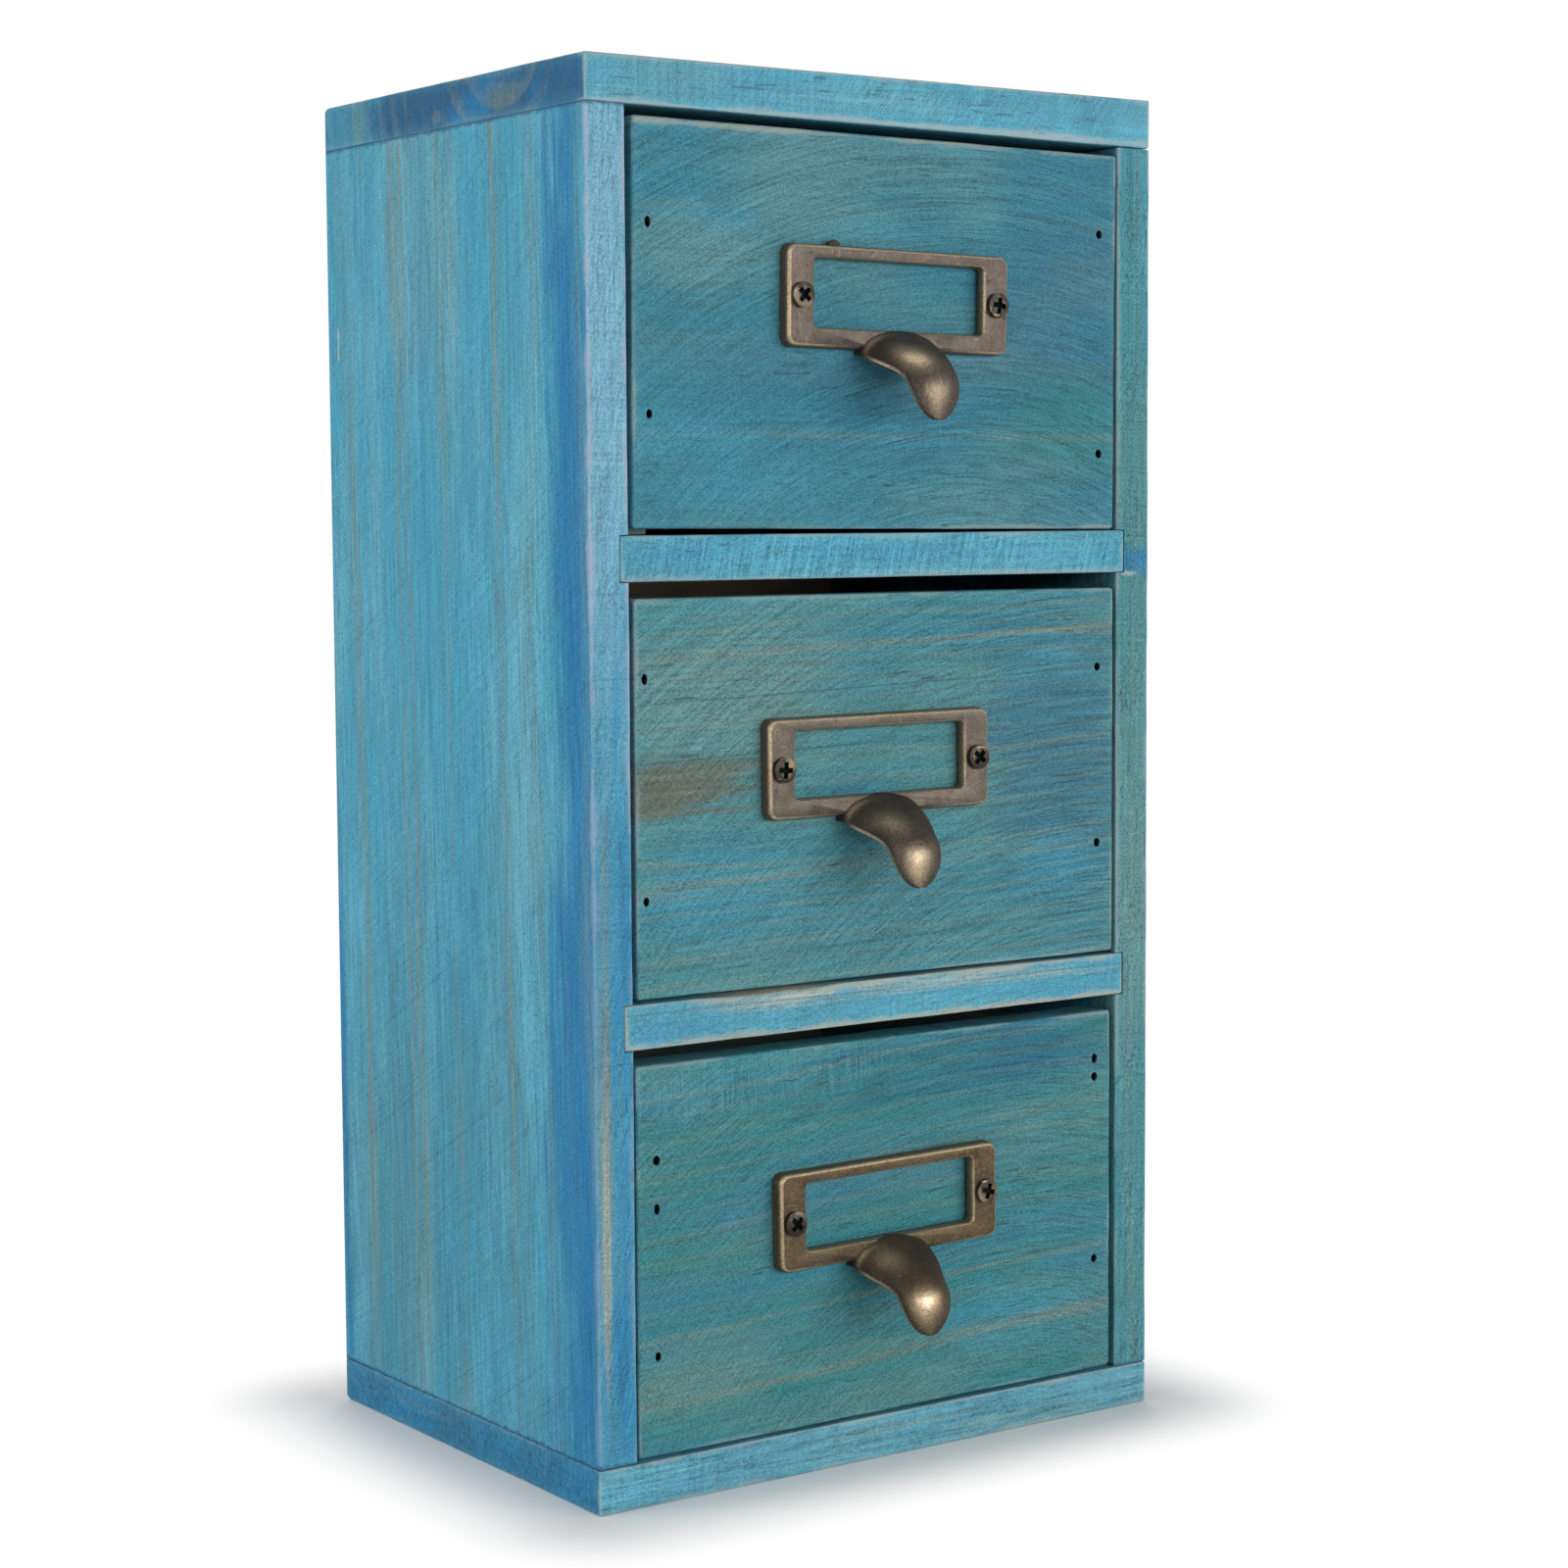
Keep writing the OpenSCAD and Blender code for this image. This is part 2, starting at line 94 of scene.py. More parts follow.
class OrganizerSizes(bpy.types.PropertyGroup):
    """Sizes of what the looks add to the boards and fittings"""

    arris: length("Arris", "Radius sanded on the edges of the carcass boards and drawer fronts", 0.42)
    thin_arris: length("Thin Arris", "Radius sanded on the edges of the drawer boxes and plywood", 0.22)
    back_round: length("Back Rounding", "Radius on the upright outer back edges", 1.5)
    end_round: length("End Rounding", "Radius on the back edges of the top and bottom boards", 3.2)
    cell: length("Board Cell", "Spacing of the board meshes' grid", 3.0)
    waviness: length("Waviness", "Depth of the hollows left by sanding", 0.05)
    joint_line: length("Joint Line", "Hairline gap where boards meet", 0.07)
    pit_d: length("Brad Pit", "Width of the holes over the brad heads", 1.35)
    frame_w: length("Label Frame Width", "Width of the label frame", 49.2)
    frame_h: length("Label Frame Height", "Height of the label frame", 18.0)
    frame_t: length("Label Frame Standing", "Standing height of the label frame", 2.6)
    cast_t: length("Casting Wall", "Thickness of the casting's walls", 1.3)
    stile_w: length("Stile", "Width of the label frame's end stiles", 5.8)
    upper_rail: length("Upper Rail", "Height of the upper rail", 2.4)
    lower_rail: length("Lower Rail", "Height of the lower rail", 3.6)
    frame_r: length("Frame Corner", "Corner radius of the label frame", 1.8)
    window_r: length("Window Corner", "Corner radius of the label window", 0.9)
    frame_round: length("Frame Edge", "Rounding of the frame's front edges, seen from the front", 0.7)
    frame_fall: length("Frame Fall", "Rounding of the frame's front edges, seen from the side", 1.5)
    flange: length("Window Flange", "Distance of the window's inner wall from the wood", 0.5)
    flange_t: length("Flange Thickness", "Thickness of the window's inner wall", 0.9)
    boss_d: length("Screw Boss", "Diameter of the bosses behind the frame", 4.4)
    pull_reach: length("Pull Reach", "Forward reach of the thumb pull's tip", 14.0)
    pull_drop: length("Pull Drop", "Drop of the tip below the frame", 12.6)
    pull_root_w: length("Pull Root", "Width of the thumb pull at the frame", 17.2)
    pull_waist_w: length("Pull Waist", "Width of the thumb pull at its waist", 10.6)
    pull_sag: length("Pull Sag", "Sag of the rim below the frame at the root", 1.0)
    pull_tip_t: length("Pull Tip", "Thickness of the tip", 1.0)
    screw_head_d: length("Screw Head", "Diameter of the pan heads", 4.5)
    screw_head_h: length("Screw Head Height", "Height of the pan heads", 1.1)
    screw_crown: length("Screw Crown", "Height of the domed part of the heads", 0.26)
    screw_d: length("Screw Shank", "Diameter of the screw shanks", 2.3)
    cross_w: length("Cross Width", "Width of the cross recess", 0.95)
    cross_len: length("Cross Length", "Length of the cross recess", 2.9)
    cross_depth: length("Cross Depth", "Depth of the cross recess", 0.9)
    top_extra_left: length("Top Board Left", "Extra thickness of the top board at its left end", 0.15)
    top_extra_right: length("Top Board Right", "Extra thickness of the top board at its right end", 1.1)
    top_front_rise: length("Top Front Rise", "Extra height of the top drawer front", 0.5)
    top_front_turn: FloatProperty(
        name="Top Front Turn",
        description="How far the top drawer front hangs to the right",
        default=math.radians(0.5),
        subtype="ANGLE",
    )
    pit_seed: IntProperty(name="Pit Seed", description="Seed of the brad pits' outlines", default=7)


class OrganizerColours(bpy.types.PropertyGroup):
    """Stains, woods and metals"""

    sky_stain: tone("Sky Stain", "Blue stain on the carcass", 0.056, 0.295, 0.425)
    pale_stain: tone("Pale Stain", "Blue stain rubbed thin on the front edges", 0.110, 0.365, 0.480)
    deep_stain: tone("Deep Stain", "Stain that has pooled", 0.010, 0.158, 0.350)
    ink_stain: tone("Ink Stain", "Stain soaked into end grain", 0.012, 0.085, 0.190)
    teal_stain: tone("Teal Stain", "Stain on the top drawer front", 0.043, 0.194, 0.254)
    moss_stain: tone("Moss Stain", "Greener stain on the bottom drawer front", 0.036, 0.195, 0.208)
    grey_stain: tone("Grey Stain", "Greyer stain on the middle drawer front", 0.066, 0.230, 0.256)
    olive: tone("Olive", "Wood that shows through thin stain", 0.130, 0.255, 0.240)
    latewood: tone("Latewood", "Hard bands that take little stain", 0.170, 0.225, 0.180)
    fibre_dark: tone("Dark Fibre", "Resin lines and open fibres", 0.050, 0.075, 0.070)
    smudge: tone("Smudge", "Brown heart streak", 0.105, 0.125, 0.100)
    worn_wood: tone("Worn Wood", "Wood rubbed bare along the arrises", 0.360, 0.450, 0.450)
    lavender: tone("Lavender", "Rubbed arris of the left side board", 0.400, 0.440, 0.560)
    bare_wood: tone("Bare Wood", "Fresh wood in chips and rubbed strips", 0.480, 0.450, 0.340)
    mist: tone("Mist", "Stain rubbed to a pale haze", 0.200, 0.400, 0.520)
    box_pine: tone("Box Pine", "Unstained pine of the drawer boxes", 0.560, 0.440, 0.290)
    box_stain: tone("Box Stain", "Thin stain on the drawer boxes", 0.150, 0.330, 0.390)
    plywood: tone("Plywood", "Face veneer of the plywood", 0.560, 0.430, 0.280)
    glue_line: tone("Glue Line", "Cross plies and glue lines", 0.300, 0.210, 0.130)
    # Pit Dark is stain in the brad pits and on the brads, and painted shade in the screws' cross recesses
    pit_dark: tone("Pit Dark", "Stain in the brad pits and on the brads, and painted shade in the screws' recesses", 0.006, 0.012, 0.014)
    brass_grey: tone("Grey Brass", "Face of the top label frame", 0.080, 0.065, 0.054)
    brass_brown: tone("Brown Brass", "Face of the middle label frame", 0.089, 0.074, 0.059)
    brass_gold: tone("Gold Brass", "Face of the bottom label frame", 0.084, 0.060, 0.034)
    # Rubbed brass is real rubbing on edges and scratches, and also the painted highlights on the frames' edges and the
    # pulls' tips and flanks
    brass_rub_and_highlight: tone("Rubbed Brass And Highlight", "Brass rubbed bright on edges, and painted highlights on edges and tips", 0.520, 0.400, 0.260)
    # Brass soot is real patina in clouds and pits, and also painted shade on the pulls and round the frames' feet and
    # hollows
    brass_patina_and_shade: tone("Brass Patina And Shade", "Dark patina in clouds and pits, and painted shade on the pulls and round the frames' feet and hollows", 0.022, 0.017, 0.012)
    bronze: tone("Bronze", "Dark finish of the screws", 0.028, 0.023, 0.018)
    steel: tone("Steel", "Pins of the back panel", 0.150, 0.150, 0.150)
    floor: tone("Floor", "Studio floor", 0.900, 0.900, 0.900)


def sizes():
    return bpy.context.scene.organizer_sizes


def colours():
    return bpy.context.scene.organizer_colours


class Bench:
    """Lays nodes in one tree and joins them."""

    def __init__(self, tree):
        self.tree = tree

    def feed(self, socket, value):
        if isinstance(value, bpy.types.NodeSocket):
            self.tree.links.new(value, socket)
        elif socket.type == "RGBA":
            socket.default_value = (*value[:3], 1.0)
        else:
            socket.default_value = value

    def put(self, kind, feeds=None, **settings):
        node = self.tree.nodes.new(kind)
        for name, value in settings.items():
            setattr(node, name, value)
        for socket, value in (feeds or {}).items():
            self.feed(node.inputs[socket], value)
        return node

    def sum(self, operation, a, b=0.0, c=0.0, clamp=False):
        node = self.put("ShaderNodeMath", {0: a, 1: b, 2: c}, operation=operation, use_clamp=clamp)
        return node.outputs[0]

    def times(self, a, b, clamp=False):
        return self.sum("MULTIPLY", a, b, clamp=clamp)

    def scaled(self, value, by, start):
        return self.sum("MULTIPLY_ADD", value, by, start)

    def plus(self, a, b):
        return self.sum("ADD", a, b)

    def less(self, a, b, clamp=False):
        return self.sum("SUBTRACT", a, b, clamp=clamp)

    def millimetres(self, coords):
        return self.vector("MULTIPLY", coords, (1 / MM, 1 / MM, 1 / MM))

    def vector(self, operation, a, b=(0.0, 0.0, 0.0)):
        node = self.put("ShaderNodeVectorMath", {0: a, 1: b}, operation=operation)
        return node.outputs["Value" if operation in ("LENGTH", "DOT_PRODUCT") else "Vector"]

    def parts(self, vector):
        return self.put("ShaderNodeSeparateXYZ", {0: vector}).outputs

    def join(self, x, y, z):
        return self.put("ShaderNodeCombineXYZ", {0: x, 1: y, 2: z}).outputs[0]

    def noise(self, place, stretch, detail=2.0, roughness=0.5):
        spot = self.vector("MULTIPLY", place, stretch)
        feeds = {"Vector": spot, "Scale": 1.0, "Detail": detail, "Roughness": roughness}
        return self.put("ShaderNodeTexNoise", feeds).outputs[0]

    def step(self, value, low, high, start=0.0, end=1.0):
        feeds = {0: value, 1: low, 2: high, 3: start, 4: end}
        return self.put("ShaderNodeMapRange", feeds, interpolation_type="SMOOTHSTEP").outputs[0]

    def mix(self, share, a, b):
        node = self.put("ShaderNodeMix", {0: share, 6: a, 7: b}, data_type="RGBA")
        return node.outputs[2]

    def shade(self, colour, amount):
        node = self.put("ShaderNodeVectorMath", {0: colour, "Scale": amount}, operation="SCALE")
        return node.outputs[0]

    def effect(self, name, **feeds):
        feeds = {socket.replace("_", " ").title(): value for socket, value in feeds.items()}
        return self.put("ShaderNodeGroup", feeds, node_tree=bpy.data.node_groups[name]).outputs


def effect_group(name, inputs, outputs):
    """An empty node group with named sockets, as (bench, inputs, outputs)."""
    tree = bpy.data.node_groups.new(name, "ShaderNodeTree")
    for label in inputs:
        kind = "NodeSocketVector" if label in ("Place", "Pith", "Low", "High", "Centre", "Reach") else "NodeSocketFloat"
        tree.interface.new_socket(name=label, in_out="INPUT", socket_type=kind)
    for label in outputs:
        tree.interface.new_socket(name=label, in_out="OUTPUT", socket_type="NodeSocketFloat")
    bench = Bench(tree)
    return bench, bench.put("NodeGroupInput").outputs, bench.put("NodeGroupOutput").inputs


def drifted(bench, place, seed):
    """The place moved far off by a seed, so that boards don't share their noise."""
    off = bench.join(bench.times(seed, 131.7), bench.times(seed, 47.3), bench.times(seed, 83.9))
    return bench.vector("ADD", place, off)


def make_pine_figure():
    """Growth rings round a pith, fibres, open pores and stain pooling, in board millimetres with the grain along X."""
    inputs = ("Place", "Pith", "Ring Width", "Waver", "Seed")
    b, given, made = effect_group("pine_figure", inputs, ("Latewood", "Fibre", "Pores", "Fuzz", "Pooling", "Clouds"))
    place = drifted(b, given["Place"], given["Seed"])
    sway = b.less(b.noise(place, (0.006, 0.022, 0.022)), 0.5)
    ripple = b.less(b.noise(place, (0.035, 0.16, 0.16)), 0.5)
    spokes = b.vector("MULTIPLY", b.vector("SUBTRACT", given["Place"], given["Pith"]), (0.0, 1.0, 1.0))
    bend = b.times(b.scaled(ripple, 0.2, b.times(sway, 2.0)), given["Waver"])
    rings = b.sum("DIVIDE", b.plus(b.vector("LENGTH", spokes), bend), given["Ring Width"])
    part = b.sum("FRACT", rings)
    number = b.plus(b.sum("FLOOR", rings), given["Seed"])
    year = b.put("ShaderNodeTexWhiteNoise", {"W": number}, noise_dimensions="1D").outputs[0]
    band = b.times(b.step(part, 0.3, 0.86), b.step(part, 0.9, 1.0, 1.0, 0.0))
    broken = b.step(b.noise(place, (0.025, 0.3, 0.3)), 0.3, 0.7, 0.45, 1.0)
    strength = b.scaled(year, 0.8, 0.2)
    b.feed(made["Latewood"], b.times(b.times(band, strength), broken))
    fibre = b.noise(place, (0.07, 1.5, 1.5), 4.0, 0.62)
    b.feed(made["Fibre"], b.scaled(fibre, 2.0, -1.0))
    line = b.step(b.noise(place, (0.15, 1.5, 1.5), 1.0), 0.68, 0.74)
    where = b.step(b.noise(place, (0.02, 0.07, 0.07)), 0.46, 0.62)
    b.feed(made["Pores"], b.times(line, where))
    fuzz = b.noise(place, (2.3, 3.6, 3.6), 2.5, 0.65)
    b.feed(made["Fuzz"], b.scaled(fuzz, 3.8, -1.9))
    b.feed(made["Pooling"], b.noise(place, (0.012, 0.075, 0.075), 3.0, 0.55))
    b.feed(made["Clouds"], b.noise(place, (0.028, 0.05, 0.05), 2.0))


def make_sanding_marks():
    """Scratches left along arcs by a turning sander."""
    b, given, made = effect_group("sanding_marks", ("Place", "Centre", "Seed"), ("Marks", "Cuts"))
    spoke = b.parts(b.vector("SUBTRACT", given["Place"], given["Centre"]))
    reach = b.vector("LENGTH", b.join(spoke[0], spoke[1], 0.0))
    turn = b.sum("ARCTAN2", spoke[1], spoke[0])
    lane = b.join(reach, b.times(turn, 100.0), b.times(given["Seed"], 17.3))
    streak = b.noise(lane, (3.3, 0.08, 1.0), 3.0, 0.6)
    busy = b.step(b.noise(given["Place"], (0.03, 0.03, 0.03)), 0.36, 0.62, 0.6, 1.0)
    b.feed(made["Marks"], b.times(b.scaled(streak, 2.0, -1.0), busy))
    cut = b.step(b.noise(lane, (3.4, 0.07, 1.0), 1.0), 0.69, 0.75)
    b.feed(made["Cuts"], b.times(cut, busy))


def make_saw_marks():
    """Short parallel strokes across a face that looks forward, at an angle to the level."""
    b, given, made = effect_group("saw_marks", ("Place", "Angle", "Seed"), ("Marks",))
    spot = b.parts(given["Place"])
    cos, sin = b.sum("COSINE", given["Angle"]), b.sum("SINE", given["Angle"])
    along = b.plus(b.times(spot[0], cos), b.times(spot[2], sin))
    over = b.less(b.times(spot[2], cos), b.times(spot[0], sin))
    lane = b.join(along, over, b.times(given["Seed"], 9.1))
    stroke = b.noise(lane, (0.12, 2.0, 1.0), 3.0, 0.6)
    busy = b.step(b.noise(given["Place"], (0.09, 0.09, 0.09)), 0.36, 0.6, 0.35, 1.0)
    b.feed(made["Marks"], b.times(b.scaled(stroke, 2.0, -1.0), busy))


def make_arris_wear():
    """How far a board is rubbed bare on its arrises, pale on the rim inside them and dark along its ends."""
    b, given, made = effect_group(
        "arris_wear", ("Place", "Low", "High", "Width", "Back", "Seed"), ("Wear", "Rim", "Seam")
    )
    up = b.vector("SUBTRACT", given["Place"], given["Low"])
    down = b.vector("SUBTRACT", given["High"], given["Place"])
    near = b.parts(b.vector("MINIMUM", up, down))
    smaller = b.sum("MINIMUM", near[0], near[1])
    larger = b.sum("MAXIMUM", near[0], near[1])
    second = b.sum("MAXIMUM", smaller, b.sum("MINIMUM", larger, near[2]))
    place = drifted(b, given["Place"], given["Seed"])
    ragged = b.noise(place, (0.8, 0.8, 0.8), 3.0, 0.6)
    patchy = b.step(b.noise(place, (0.07, 0.07, 0.07), 2.0), 0.34, 0.66, 0.25, 1.3)
    width = b.times(b.times(given["Width"], patchy), b.scaled(ragged, 1.6, 0.2))
    worn = b.less(1.0, b.sum("DIVIDE", second, width), clamp=True)
    ahead = b.step(b.parts(up)[1], 1.2, 3.0, 1.0, given["Back"])
    b.feed(made["Wear"], b.times(worn, ahead))
    b.feed(made["Seam"], b.step(b.scaled(ragged, -1.8, near[2]), -0.6, 0.1, 1.0, 0.0))
    b.feed(made["Rim"], b.step(b.scaled(ragged, 2.0, second), 1.0, 3.6, 1.0, 0.0))


def make_stain_patch():
    """A soft ragged patch round a centre."""
    b, given, made = effect_group("stain_patch", ("Place", "Centre", "Reach", "Ragged", "Seed"), ("Patch",))
    far = b.vector("LENGTH", b.vector("DIVIDE", b.vector("SUBTRACT", given["Place"], given["Centre"]), given["Reach"]))
    place = drifted(b, given["Place"], given["Seed"])
    coarse = b.less(b.noise(place, (0.035, 0.11, 0.11), 3.0, 0.6), 0.5)
    fine = b.less(b.noise(place, (0.03, 0.8, 0.8), 2.0, 0.6), 0.5)
    edge = b.scaled(b.scaled(fine, 0.8, coarse), given["Ragged"], far)
    b.feed(made["Patch"], b.step(edge, 0.25, 1.0, 1.0, 0.0))


def make_grain_streak():
    """One band along the grain, at a place across the board."""
    b, given, made = effect_group("grain_streak", ("Place", "Across", "Width", "Waver", "Seed"), ("Streak",))
    place = drifted(b, given["Place"], given["Seed"])
    sway = b.less(b.noise(b.vector("MULTIPLY", place, (1, 0, 0)), (0.011, 1.0, 1.0), 2.0), 0.5)
    off = b.less(b.parts(given["Place"])[1], given["Across"])
    off = b.scaled(sway, given["Waver"], off)
    fine = b.less(b.noise(place, (0.05, 0.8, 0.8), 3.0), 0.5)
    off = b.scaled(fine, given["Width"], off)
    near = b.step(b.sum("DIVIDE", b.sum("ABSOLUTE", off), given["Width"]), 0.0, 1.0, 1.0, 0.0)
    broken = b.step(b.noise(place, (0.018, 0.05, 0.05)), 0.3, 0.66, 0.25, 1.0)
    b.feed(made["Streak"], b.times(near, broken))


def make_cast_patina():
    """Cloudy patina, pits and fine scratches of a tumbled casting, in millimetres."""
    b, given, made = effect_group("cast_patina", ("Place", "Seed"), ("Clouds", "Pits", "Scratches", "Grain"))
    place = drifted(b, given["Place"], given["Seed"])
    b.feed(made["Clouds"], b.noise(place, (0.22, 0.22, 0.22), 4.0, 0.6))
    b.feed(made["Grain"], b.scaled(b.noise(place, (2.4, 2.4, 2.4), 3.0, 0.65), 2.0, -1.0))
    b.feed(made["Pits"], b.step(b.noise(place, (1.1, 1.1, 1.1), 1.0), 0.70, 0.76))
    slant = b.vector("MULTIPLY", place, (1.0, 0.3, 1.0))
    one = b.step(b.noise(slant, (2.6, 1.0, 0.22), 1.0), 0.69, 0.74)
    two = b.step(b.noise(slant, (0.25, 1.0, 2.2), 1.0), 0.70, 0.75)
    b.feed(made["Scratches"], b.sum("MAXIMUM", one, two))


def make_effects():
    make_pine_figure()
    make_sanding_marks()
    make_saw_marks()
    make_arris_wear()
    make_stain_patch()
    make_grain_streak()
    make_cast_patina()


def new_material(name):
    """A material with one Principled shader, as (material, bench, shader)."""
    material = bpy.data.materials.new(name)
    material.use_nodes = True
    material.node_tree.nodes.clear()
    bench = Bench(material.node_tree)
    shader = bench.put("ShaderNodeBsdfPrincipled")
    output = bench.put("ShaderNodeOutputMaterial")
    material.node_tree.links.new(shader.outputs[0], output.inputs[0])
    return material, bench, shader


def finish_surface(bench, shader, colour, roughness, height, depth, specular):
    """Feeds a shader's colour, roughness and bump; depth is the bump's height in metres."""
    shader.inputs["Specular IOR Level"].default_value = specular
    bump = bench.put("ShaderNodeBump", {"Strength": 1.0, "Distance": depth, "Height": height})
    bench.feed(shader.inputs["Base Color"], colour)
    bench.feed(shader.inputs["Roughness"], roughness)
    bench.feed(shader.inputs["Normal"], bump.outputs[0])


def board_axes(look):
    """Unit vectors along the grain, across it and out of the board, with the grain's lean."""
    grain, across = AXES[look["grain"]], AXES[look["across"]]
    lean = math.radians(look["lean"])
    along = grain * math.cos(lean) + across * math.sin(lean)
    over = across * math.cos(lean) - grain * math.sin(lean)
    return along, over, along.cross(over)


def board_place(bench, coords, look, low, high):
    """Object coordinates turned into board millimetres from the board's centre, with the grain along X."""
    turn = Matrix(board_axes(look))
    centre = (low + high) / 2 / MM
    feeds = {
        "Vector": coords,
        "Location": -(turn @ centre),
        "Rotation": turn.to_euler("XYZ"),
        "Scale": (1 / MM, 1 / MM, 1 / MM),
    }
    return bench.put("ShaderNodeMapping", feeds).outputs[0]


def board_figure(bench, place, look):
    """Growth rings, fibres and stain pooling of one board."""
    pith = (0.0, *look["pith"])
    return bench.effect(
        "pine_figure", place=place, pith=pith, ring_width=look["rings"], waver=look["waver"], seed=look["seed"]
    )


def board_wear(bench, spot, low, high, width, back, seed):
    """Rubbed arrises of one board."""
    return bench.effect("arris_wear", place=spot, low=low / MM, high=high / MM, width=width, back=back, seed=seed)


def lay_patches(bench, place, colour, patches, seed, mask=1.0):
    """Lays ragged stain patches over a colour, each as (tone, strength, centre, reach, ragged)."""
    for number, (shade, strength, centre, reach, ragged) in enumerate(patches):
        turn = seed + PATCH_STEP * number
        patch = bench.effect("stain_patch", place=place, centre=centre, reach=reach, ragged=ragged, seed=turn)
        share = bench.times(bench.times(patch[0], strength), mask)
        colour = bench.mix(share, colour, getattr(colours(), shade))
    return colour


def stain_coat(b, place, look, figure):
    """Stain of one board: pooling, thin spots, patches, hard bands and streaks."""
    hue, seed = colours(), look["seed"]
    pool = b.step(figure["Pooling"], *look["pool_range"])
    colour = b.mix(pool, getattr(hue, look["ground"]), getattr(hue, look["pool"]))
    thin = b.step(figure["Clouds"], 0.45, 0.72, 0.0, look["thin"])
    colour = b.mix(thin, colour, hue.olive)
    colour = lay_patches(b, place, colour, look["patches"], seed)
    late = b.times(figure["Latewood"], look["late"])
    colour = b.mix(late, colour, hue.latewood)
    for number, (shade, strength, over, width, waver) in enumerate(look["streaks"]):
        turn = seed + STREAK_SEED + STREAK_STEP * number
        streak = b.effect("grain_streak", place=place, across=over, width=width, waver=waver, seed=turn)
        colour = b.mix(b.times(streak[0], strength), colour, getattr(hue, shade))
    return colour


def soak_ends(b, source, place, look, figure, colour):
    """Darker stain where a face cuts across the grain."""
    hue, seed = colours(), look["seed"]
    facing = b.sum("ABSOLUTE", b.vector("DOT_PRODUCT", source["Normal"], AXES[look["grain"]]))
    end = b.step(facing, 0.6, 0.92, 0.0, look["end"])
    soaked = b.mix(b.step(figure["Clouds"], 0.38, 0.62), hue.ink_stain, hue.deep_stain)
    soaked = b.mix(b.times(figure["Latewood"], look["end_late"]), soaked, hue.latewood)
    soaked = lay_patches(b, place, soaked, look["end_patches"], seed + END_SEED)
    return b.mix(end, colour, soaked)


def rub_front(b, place, look, figure, lit, colour):
    """Thinner stain and patches on the side that looks forward."""
    hue = colours()
    rubbed = b.mix(b.step(figure["Fibre"], -0.3, 0.5), hue.pale_stain, colour)
    colour = b.mix(b.times(lit, look["front"]), colour, rubbed)
    return lay_patches(b, place, colour, look["front_patches"], look["seed"] + FRONT_SEED, lit)


def saw_strokes(b, spot, place, look, lit):
    """Saw marks on the side that looks forward, and upright chatter where a look has it."""
    seed = look["seed"]
    angle, share = look["hatch"]
    sawn = b.effect("saw_marks", place=spot, angle=math.radians(angle), seed=seed)
    saw = b.times(b.times(sawn["Marks"], lit), share)
    if "chatter" in look:
        strength, centre, reach = look["chatter"]
        area = b.effect("stain_patch", place=place, centre=centre, reach=reach, ragged=0.7, seed=seed + CHATTER_SEED)
        upright = b.effect("saw_marks", place=spot, angle=math.radians(CHATTER_ANGLE), seed=seed + 0.5)
        chatter = b.times(b.times(area[0], strength), b.plus(upright["Marks"], 0.12))
        saw = b.plus(saw, chatter)
    return saw


def stained_pine(name, node, look):
    """Pine with rubbed stain for one board: rings, pooling, patches, streaks, sanding marks and worn arrises."""
    hue = colours()
    low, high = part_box(node)
    material, b, shader = new_material(name)
    source = b.put("ShaderNodeTexCoord").outputs
    place = board_place(b, source["Object"], look, low, high)
    spot = b.millimetres(source["Object"])
    seed = look["seed"]
    figure = board_figure(b, place, look)
    wear = board_wear(b, spot, low, high, look["wear"], BACK_WEAR, seed)
    sanding = b.effect("sanding_marks", place=place, centre=(*look["sander"], 0.0), seed=seed)
    colour = stain_coat(b, place, look, figure)
    colour = soak_ends(b, source, place, look, figure, colour)
    forward = b.vector("DOT_PRODUCT", source["Normal"], (0.0, -1.0, 0.0))
    lit = b.step(forward, 0.6, 0.92)
    colour = rub_front(b, place, look, figure, lit, colour)
    saw = saw_strokes(b, spot, place, look, lit)
    texture = b.times(figure["Fibre"], look["fibre"])
    texture = b.scaled(figure["Fuzz"], look["fuzz"], texture)
    texture = b.scaled(sanding["Marks"], look["sanding"], texture)
    texture = b.plus(saw, texture)
    start, stop, least = look["wear_from"]
    rubbing = b.times(wear["Wear"], b.step(b.parts(place)[0], start, stop, least, 1.0))
    colour = b.shade(colour, b.sum("MAXIMUM", b.plus(texture, 1.0), 0.25))
    colour = b.mix(b.times(sanding["Cuts"], look["cuts"]), colour, hue.fibre_dark)
    colour = b.mix(b.times(figure["Pores"], look["pores"]), colour, hue.fibre_dark)
    colour = b.mix(b.times(wear["Rim"], look["rim"]), colour, hue.pale_stain)
    bare = getattr(hue, look["wear_tone"])
    colour = b.mix(b.times(rubbing, look["wear_share"]), colour, bare)
    colour = b.mix(b.times(wear["Seam"], look["seam"]), colour, hue.ink_stain)
    rough = b.scaled(figure["Fibre"], 0.08, 0.6)
    rough = b.scaled(wear["Wear"], 0.1, rough)
    height = b.scaled(figure["Fibre"], 0.5, b.times(figure["Fuzz"], 0.45))
    height = b.scaled(sanding["Marks"], 0.5, height)
    height = b.scaled(figure["Latewood"], 0.6, height)
    height = b.scaled(figure["Pores"], -1.2, height)
    height = b.scaled(sanding["Cuts"], -0.6, height)
    height = b.scaled(saw, 0.8, height)
    finish_surface(b, shader, colour, rough, height, 0.16 * MM, WOOD_SPECULAR)
    return material


